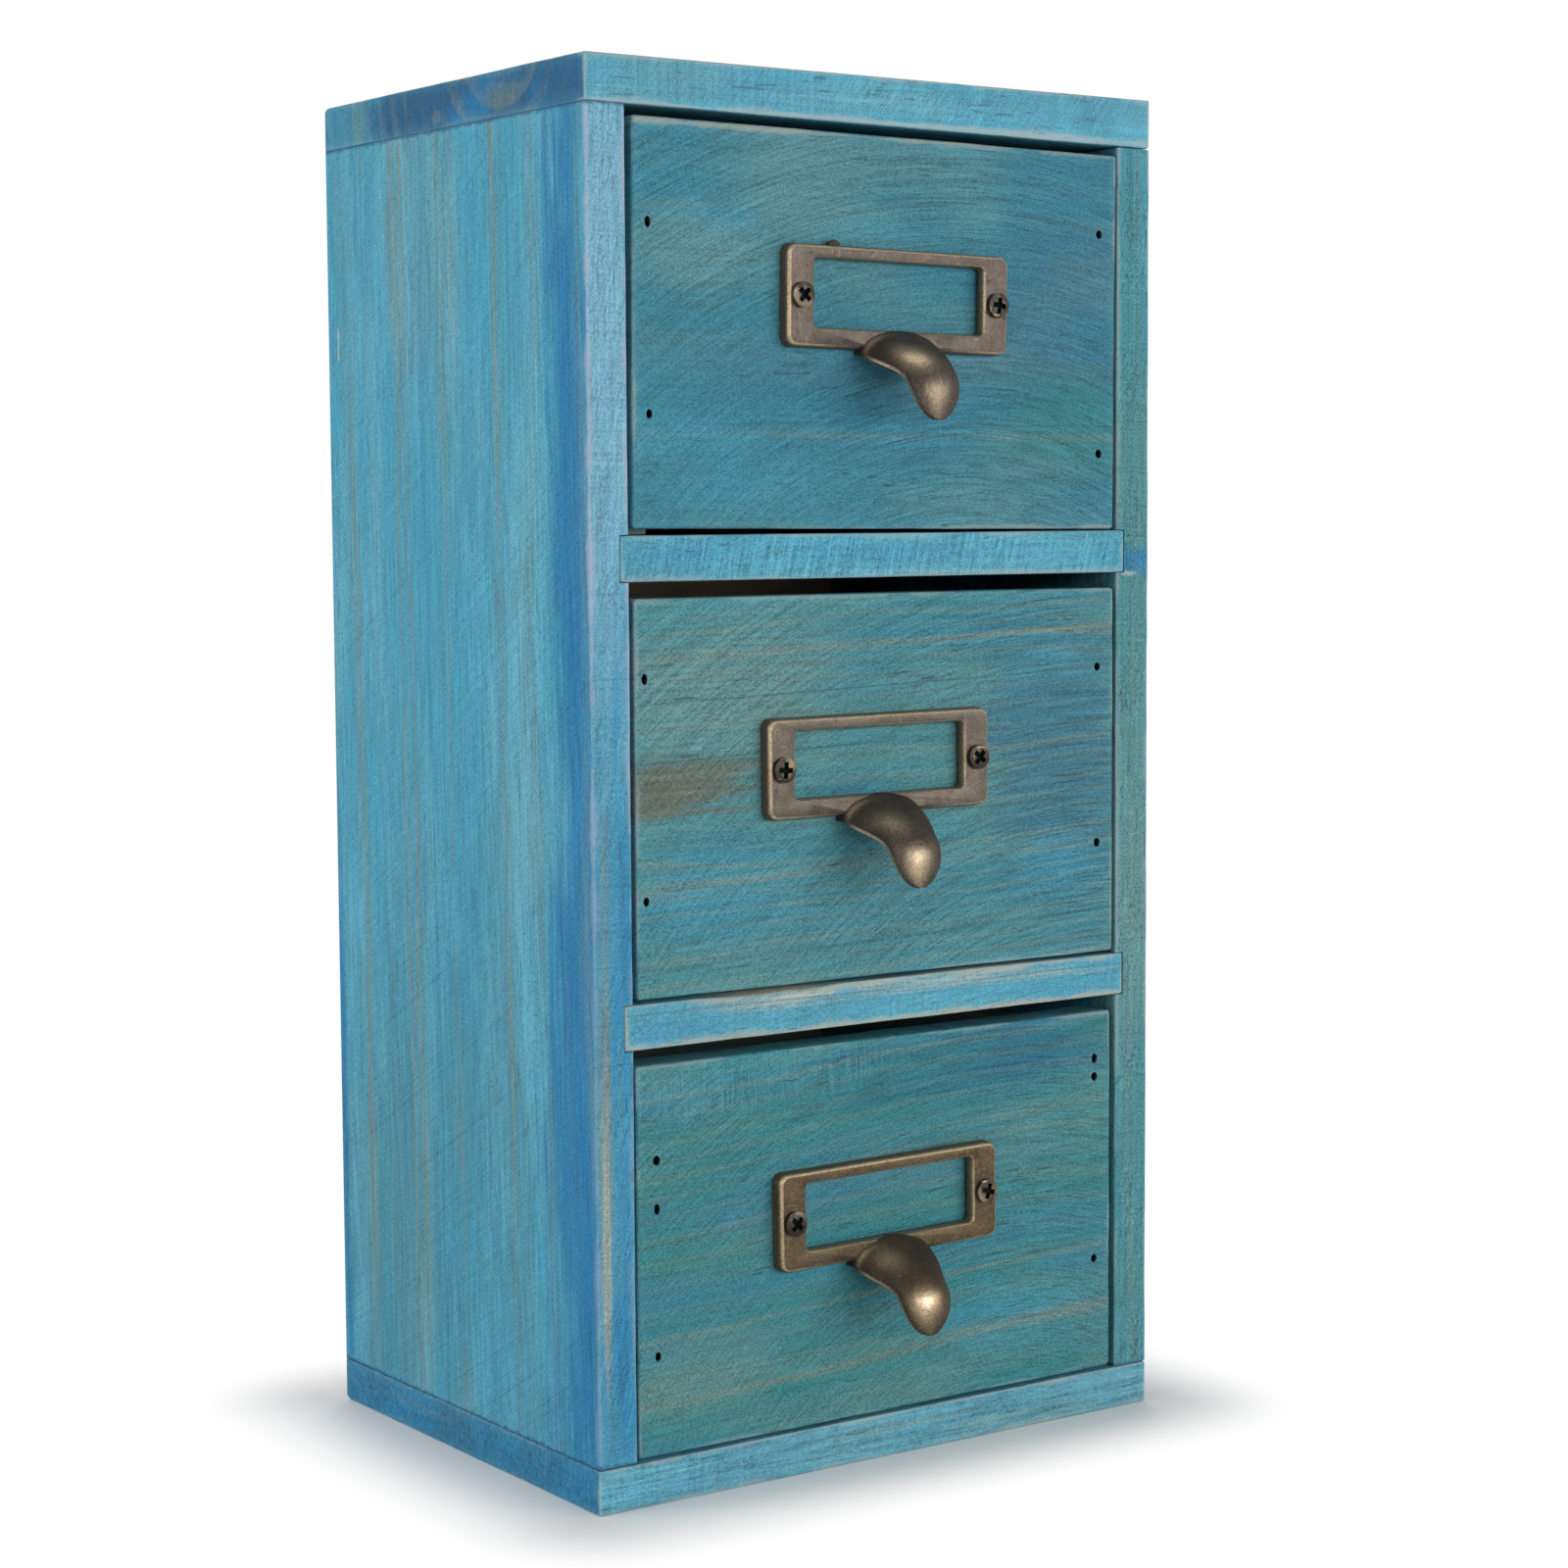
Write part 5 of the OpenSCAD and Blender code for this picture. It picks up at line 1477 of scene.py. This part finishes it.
def thumb_mesh(level, steps=56, arcs=44):
    """Hollow thumb pull, lofted from the frame's lower rail to its tip, in painted shade except for its painted
    highlights: two spots, its rims and a spot at the root.
    """
    s = sizes()
    foot, root = -s.frame_h / 2, s.frame_t - 0.25 * MM
    glow, glow_at, flank, tip_at, shine = THUMB_GLOW[level]

    def spot(t, turn, middle, spread, lean, width):
        return math.exp(-(((t - middle) / spread) ** 2) - ((math.degrees(turn) - lean) / width) ** 2)

    def share(forward, down):
        return (forward * s.pull_reach, foot - down * s.pull_drop)

    tip = np.array((s.pull_reach, foot - s.pull_drop))
    half_tip = np.array((s.pull_tip_t / 2, 0.0))
    rim = [(root, foot - s.pull_sag), *(share(*bend) for bend in RIM_BENDS), tip - half_tip]
    crest = [(root, foot + s.lower_rail), *(share(*bend) for bend in CREST_BENDS), tip + half_tip]
    rings, rub_and_highlight, painted_shade = [], [], []
    for step in range(-1, steps + 1):
        t = 0.996 * math.sin(math.pi / 2 * max(step, 0) / steps)
        low, rise = bezier(rim, t), bezier(crest, t) - bezier(rim, t)
        taper = (s.pull_root_w + (s.pull_waist_w - s.pull_root_w) * ease(t, 0.0, 0.62)) / 2
        half = taper * math.sqrt(1 - min(max((t - 0.55) / 0.45, 0.0), 1.0) ** 3.1)
        ring = []
        for inset, order in ((0.0, range(arcs + 1)), (s.cast_t, range(arcs, -1, -1))):
            for i in order:
                turn = math.pi * i / arcs
                arch = max(1 - inset / np.linalg.norm(rise), 0.02) * abs(math.sin(turn)) ** 0.9
                wide = max(half - inset, half / 4) * math.copysign(abs(math.cos(turn)) ** 0.9, math.cos(turn))
                forward, up = low + rise * arch
                ring.append((wide, up, 0.3 * MM if step < 0 else forward))
                # Painted highlights on the outer skin are the rims, a spot at the root, the upper spot and the spot
                # near the tip; painted shade covers the rest and the whole inner skin
                edge = 0.6 * ease(abs(math.cos(turn)), 0.99, 1.0) * ease(t, 0.02, 0.2)
                crease = 0.7 * spot(t, turn, 0.05, 0.025, 145, 24)
                upper = glow * spot(t, turn, glow_at, 0.13, 121, 20)
                bright = max(shine * spot(t, turn, tip_at, 0.12, 116, 26), upper, crease)
                upper_clear = min(glow, 1.2) * spot(t, turn, glow_at, 0.2, 118, 34)
                clear = max(spot(t, turn, tip_at, 0.2, 112, 42), upper_clear, edge, crease)
                rub_and_highlight.append(0.0 if inset else max(edge, bright))
                painted_shade.append(1.0 if inset else max(1 - 1.25 * clear - flank * ease(t, 0.25, 0.8), 0.0))
        rings.append(ring)
    return loop_mesh("thumb_pull", rings, rub_and_highlight, painted_shade, False)


# Burr on the top frame: place across, above the edge and forward, and half sizes, in metres
BURR_PLACE = (-0.0140, 0.0002, 0.0013)
BURR_SIZE = (0.0013, 0.0008, 0.0008)


def burr_mesh():
    """Casting burr left on the upper edge of one frame."""
    work = bmesh.new()
    bmesh.ops.create_icosphere(work, subdivisions=2, radius=1.0)
    for vert in work.verts:
        vert.co *= 1 + 0.25 * noise.noise(vert.co * 1.7)
    across, above, forward = BURR_PLACE
    shape = Matrix.Translation((across, sizes().frame_h / 2 + above, forward)) @ Matrix.Diagonal((*BURR_SIZE, 1.0))
    bmesh.ops.transform(work, matrix=shape, verts=work.verts)
    return mesh_of("burr", work)


def screw_seats(level):
    """Middles of a label frame's two screws, left then right, and the turn of the line through them."""
    left, right = ((Vector(low) + Vector(high)) / 2 for low, high in solids_of(level + "_pull_screws"))
    return left, right, math.atan2(right[2] - left[2], right[0] - left[0])


class OrganizerPulls(bpy.types.Operator):
    """Cast label frames with their thumb pulls"""

    bl_idname = "organizer.label_pulls"
    bl_label = "Label Pulls"

    def execute(self, context):
        hue = colours()
        faces = {"top": hue.brass_grey, "middle": hue.brass_brown, "bottom": hue.brass_gold}
        for number, level in enumerate(LEVELS):
            left, right, turn = screw_seats(level)
            centre = (left + right) / 2
            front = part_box(level + "_drawer_front")[0][1]
            casts = [frame_mesh(), thumb_mesh(level)]
            tones = [self.tones_of(mesh) for mesh in casts]
            for part, mesh in zip(("frame_part", "thumb_part"), casts):
                mesh.materials.append(bpy.data.materials.get(part) or bpy.data.materials.new(part))
            pull = new_object(level + "_label_frame_pull", casts[0])
            for across in (left, right):
                carve(pull, self.boss(math.copysign((across - centre).length, across[0] - centre[0])), "UNION")
            carve(pull, casts[1], "UNION")
            if level == "top":
                carve(pull, burr_mesh(), "UNION")
            self.tone_corners(pull.data, tones)
            stand = Matrix(((1, 0, 0, centre[0]), (0, 0, -1, front), (0, 1, 0, centre[2]), (0, 0, 0, 1)))
            pull.data.transform(stand @ Matrix.Rotation(turn, 4, "Z"))
            pull.data.materials.clear()
            pull.data.materials.append(antique_brass("brass_" + level, faces[level], SEEDS["pulls"] + number))
            pull.data.polygons.foreach_set("material_index", [0] * len(pull.data.polygons))
            smooth(pull, 38)
            place_piece(pull, level + "_drawer", "antique_brass", level + "_label_pull")
        return {"FINISHED"}

    def tones_of(self, mesh):
        """Looks up a mesh's brightening, from rubbing and painted highlights, and its painted shade near a place."""
        tree = KDTree(len(mesh.vertices))
        for vert in mesh.vertices:
            tree.insert(vert.co, vert.index)
        tree.balance()
        values = {label: [item.value for item in mesh.attributes[label].data] for label in ("rub_and_highlight", "painted_shade")}
        return tree, values

    def tone_corners(self, mesh, tones):
        """Gives each face corner the brightening and painted shade of the nearest point of the cast that the face came
        from.
        """
        found = [0] * len(mesh.loops)
        parts = [0] * len(mesh.loops)
        for face in mesh.polygons:
            part = min(face.material_index, 1)
            for loop in face.loop_indices:
                place = mesh.vertices[mesh.loops[loop].vertex_index].co
                found[loop], parts[loop] = tones[part][0].find(place)[1], part
        for label in ("rub_and_highlight", "painted_shade"):
            if label in mesh.attributes:
                mesh.attributes.remove(mesh.attributes[label])
            values = [tones[part][1][label][index] for part, index in zip(parts, found)]
            mesh.attributes.new(label, "FLOAT", "CORNER").data.foreach_set("value", values)

    def boss(self, across):
        s = sizes()
        work = bmesh.new()
        tall = s.frame_t - s.cast_t / 2
        bmesh.ops.create_cone(work, cap_ends=True, segments=32, radius1=s.boss_d / 2, radius2=s.boss_d / 2, depth=tall)
        bmesh.ops.translate(work, vec=(across, 0, tall / 2), verts=work.verts)
        return mesh_of("boss", work)


# Turns of the cross recesses on each frame, left and right, in degrees
SCREW_TURNS = {"top": (42, 8), "middle": (4, 40), "bottom": (44, 16)}


class OrganizerScrews(bpy.types.Operator):
    """Pan-head screws of the label frames"""

    bl_idname = "organizer.pull_screws"
    bl_label = "Pull Screws"

    def execute(self, context):
        s, hue = sizes(), colours()
        make_screw_tree()
        finish = plain_metal("dark_bronze_screw", hue.bronze, hue.brass_rub_and_highlight, SEEDS["screws"], 0.42)
        for level in LEVELS:
            node = level + "_pull_screws"
            low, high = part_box(node)
            seat = low[1] + s.screw_head_h
            left, right, _ = screw_seats(level)
            spots = [(spot[0], seat, spot[2]) for spot in (left, right)]
            values = {
                "Head Diameter": s.screw_head_d,
                "Head Height": s.screw_head_h,
                "Crown": s.screw_crown,
                "Shank Diameter": s.screw_d,
                "Shank Length": high[1] - seat,
                "Cross Width": s.cross_w,
                "Cross Length": s.cross_len,
                "Cross Depth": s.cross_depth,
                "Material": finish,
            }
            turns = [math.radians(a) for a in SCREW_TURNS[level]]
            screws = grow_on_points(level + "_pan_screws", "pan_screws", spots, values, {"turn": turns})
            smooth(screws, 30)
            place_piece(screws, level + "_drawer", "dark_bronze", node)
        return {"FINISHED"}


class OrganizerBrads(bpy.types.Operator):
    """Finish of the steel brads and pins"""

    bl_idname = "organizer.brads"
    bl_label = "Brads and Pins"

    def execute(self, context):
        hue = colours()
        dark = plain_metal("stained_brad", hue.pit_dark, hue.fibre_dark, SEEDS["brads"], 0.6)
        bright = plain_metal("steel_brad", hue.steel, hue.brass_grey, SEEDS["pins"], 0.45)
        for name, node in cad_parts.items():
            if name.endswith("_brads") or name.endswith("_pins"):
                node.data.materials.clear()
                node.data.materials.append(bright if name.endswith("_pins") else dark)
        return {"FINISHED"}


# Lamps as name, place, aim, sides in metres and power in watts
LAMPS = (
    ("key", (0.95, -2.08, 0.43), (0.0, -0.03, 0.13), (2.0, 0.8), 33.0),
    ("spark", (-0.48, -1.20, 0.40), (0.0, -0.03, 0.13), (0.25, 0.25), 2.4),
    ("fill", (-1.02, 0.12, 0.42), (-0.06, 0.0, 0.12), (0.9, 0.9), 7.2),
    ("back", (0.5, 0.9, 0.6), (0.0, 0.04, 0.12), (0.9, 0.9), 5.0),
)
# Camera: yaw, pitch and roll in degrees, place in metres, lens in millimetres
CAMERA_TURNS = (35.036, 4.832, 0.334)
CAMERA_PLACE = (-0.35172, -0.51680, 0.17368)
CAMERA_LENS = 74.733
SENSOR_WIDTH = 36.0
# Floor's radius and the width over which its shadow fades to white, in metres; the sky's share of the light
FLOOR_RADIUS = 4.0
SHADOW_FADE = 0.03
SKY_LIGHT = 0.28


class OrganizerStage(bpy.types.Operator):
    """Floor, lamps, background and camera"""

    bl_idname = "organizer.stage"
    bl_label = "Stage"

    def execute(self, context):
        self.floor()
        self.background(context.scene)
        for lamp in LAMPS:
            self.lamp(*lamp)
        self.camera(context.scene)
        context.scene.view_settings.view_transform = "Standard"
        return {"FINISHED"}

    def floor(self):
        work = bmesh.new()
        bmesh.ops.create_circle(work, cap_ends=True, segments=96, radius=FLOOR_RADIUS)
        mesh = mesh_of("floor", work)
        floor = new_object("floor", mesh)
        material, b, shader = new_material("white_floor")
        shader.inputs["Base Color"].default_value = (*colours().floor, 1.0)
        shader.inputs["Roughness"].default_value = 0.9
        shader.inputs["Specular IOR Level"].default_value = 0.0
        ray = b.put("ShaderNodeLightPath").outputs
        out = b.vector("ABSOLUTE", b.put("ShaderNodeTexCoord").outputs["Object"])
        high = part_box("bottom_board")[1]
        out = b.vector("MAXIMUM", b.vector("SUBTRACT", out, (high[0], high[1], 0.0)), (0.0, 0.0, 0.0))
        far = b.vector("LENGTH", out)
        seen = b.sum("MAXIMUM", ray["Is Camera Ray"], ray["Is Glossy Ray"])
        fade = b.times(seen, b.step(far, 0.0, SHADOW_FADE))
        white = b.put("ShaderNodeEmission", {"Color": (1, 1, 1), "Strength": 1.0})
        blend = b.put("ShaderNodeMixShader", {0: fade, 1: shader.outputs[0], 2: white.outputs[0]})
        output = next(n for n in material.node_tree.nodes if n.type == "OUTPUT_MATERIAL")
        b.feed(output.inputs[0], blend.outputs[0])
        mesh.materials.append(material)

    def background(self, scene):
        world = bpy.data.worlds.new("studio")
        scene.world = world
        world.use_nodes = True
        world.node_tree.nodes.clear()
        b = Bench(world.node_tree)
        ray = b.put("ShaderNodeLightPath").outputs
        bounced = b.sum("MAXIMUM", ray["Is Glossy Ray"], ray["Is Transmission Ray"])
        seen = b.sum("MAXIMUM", ray["Is Camera Ray"], bounced)
        strength = b.scaled(seen, 1.0 - SKY_LIGHT, SKY_LIGHT)
        sky = b.put("ShaderNodeBackground", {"Color": (1, 1, 1), "Strength": strength})
        out = b.put("ShaderNodeOutputWorld")
        b.feed(out.inputs[0], sky.outputs[0])

    def lamp(self, name, place, aim, sides, power):
        data = bpy.data.lights.new(name, "AREA")
        data.shape, data.energy = "RECTANGLE", power
        data.size, data.size_y = sides
        lamp = new_object(name, data)
        lamp.location = place
        lamp.rotation_euler = (Vector(aim) - Vector(place)).to_track_quat("-Z", "Y").to_euler()

    def camera(self, scene):
        yaw, pitch, roll = (math.radians(a) for a in CAMERA_TURNS)
        ahead = Vector((math.sin(yaw) * math.cos(pitch), math.cos(yaw) * math.cos(pitch), -math.sin(pitch)))
        level = Vector((math.cos(yaw), -math.sin(yaw), 0.0))
        down = ahead.cross(level)
        right = level * math.cos(roll) + down * math.sin(roll)
        up = level * math.sin(roll) - down * math.cos(roll)
        data = bpy.data.cameras.new("camera")
        data.sensor_width, data.lens = SENSOR_WIDTH, CAMERA_LENS
        camera = new_object("camera", data)
        turn = Matrix((right, up, -ahead)).transposed()
        camera.matrix_world = Matrix.Translation(CAMERA_PLACE) @ turn.to_4x4()
        scene.camera = camera


PIECES = (
    OrganizerCarcass,
    OrganizerBackPanel,
    OrganizerFronts,
    OrganizerBoxes,
    OrganizerPulls,
    OrganizerScrews,
    OrganizerBrads,
    OrganizerStage,
)


class OrganizerPanel(bpy.types.Panel):
    """Lists the organizer's pieces in the sidebar"""

    bl_idname = "VIEW3D_PT_organizer"
    bl_label = "Desktop Drawer Organizer"
    bl_space_type = "VIEW_3D"
    bl_region_type = "UI"
    bl_category = "Organizer"

    def draw(self, context):
        for piece in PIECES:
            self.layout.operator(piece.bl_idname)
        for group in (context.scene.organizer_sizes, context.scene.organizer_colours):
            box = self.layout.box()
            for name in group.__annotations__:
                box.prop(group, name)


CLASSES = (OrganizerSizes, OrganizerColours, *PIECES, OrganizerPanel)


def register():
    for cls in CLASSES:
        bpy.utils.register_class(cls)
    bpy.types.Scene.organizer_sizes = PointerProperty(type=OrganizerSizes)
    bpy.types.Scene.organizer_colours = PointerProperty(type=OrganizerColours)


def unregister():
    del bpy.types.Scene.organizer_colours
    del bpy.types.Scene.organizer_sizes
    for cls in reversed(CLASSES):
        bpy.utils.unregister_class(cls)


def main():
    register()
    make_effects()
    make_pit_tree()
    pit_wall()
    bpy.ops.organizer.carcass()
    bpy.ops.organizer.back_panel()
    bpy.ops.organizer.drawer_fronts()
    bpy.ops.organizer.drawer_boxes()
    bpy.ops.organizer.label_pulls()
    bpy.ops.organizer.pull_screws()
    bpy.ops.organizer.brads()
    bpy.ops.organizer.stage()


if __name__ == "__main__":
    main()
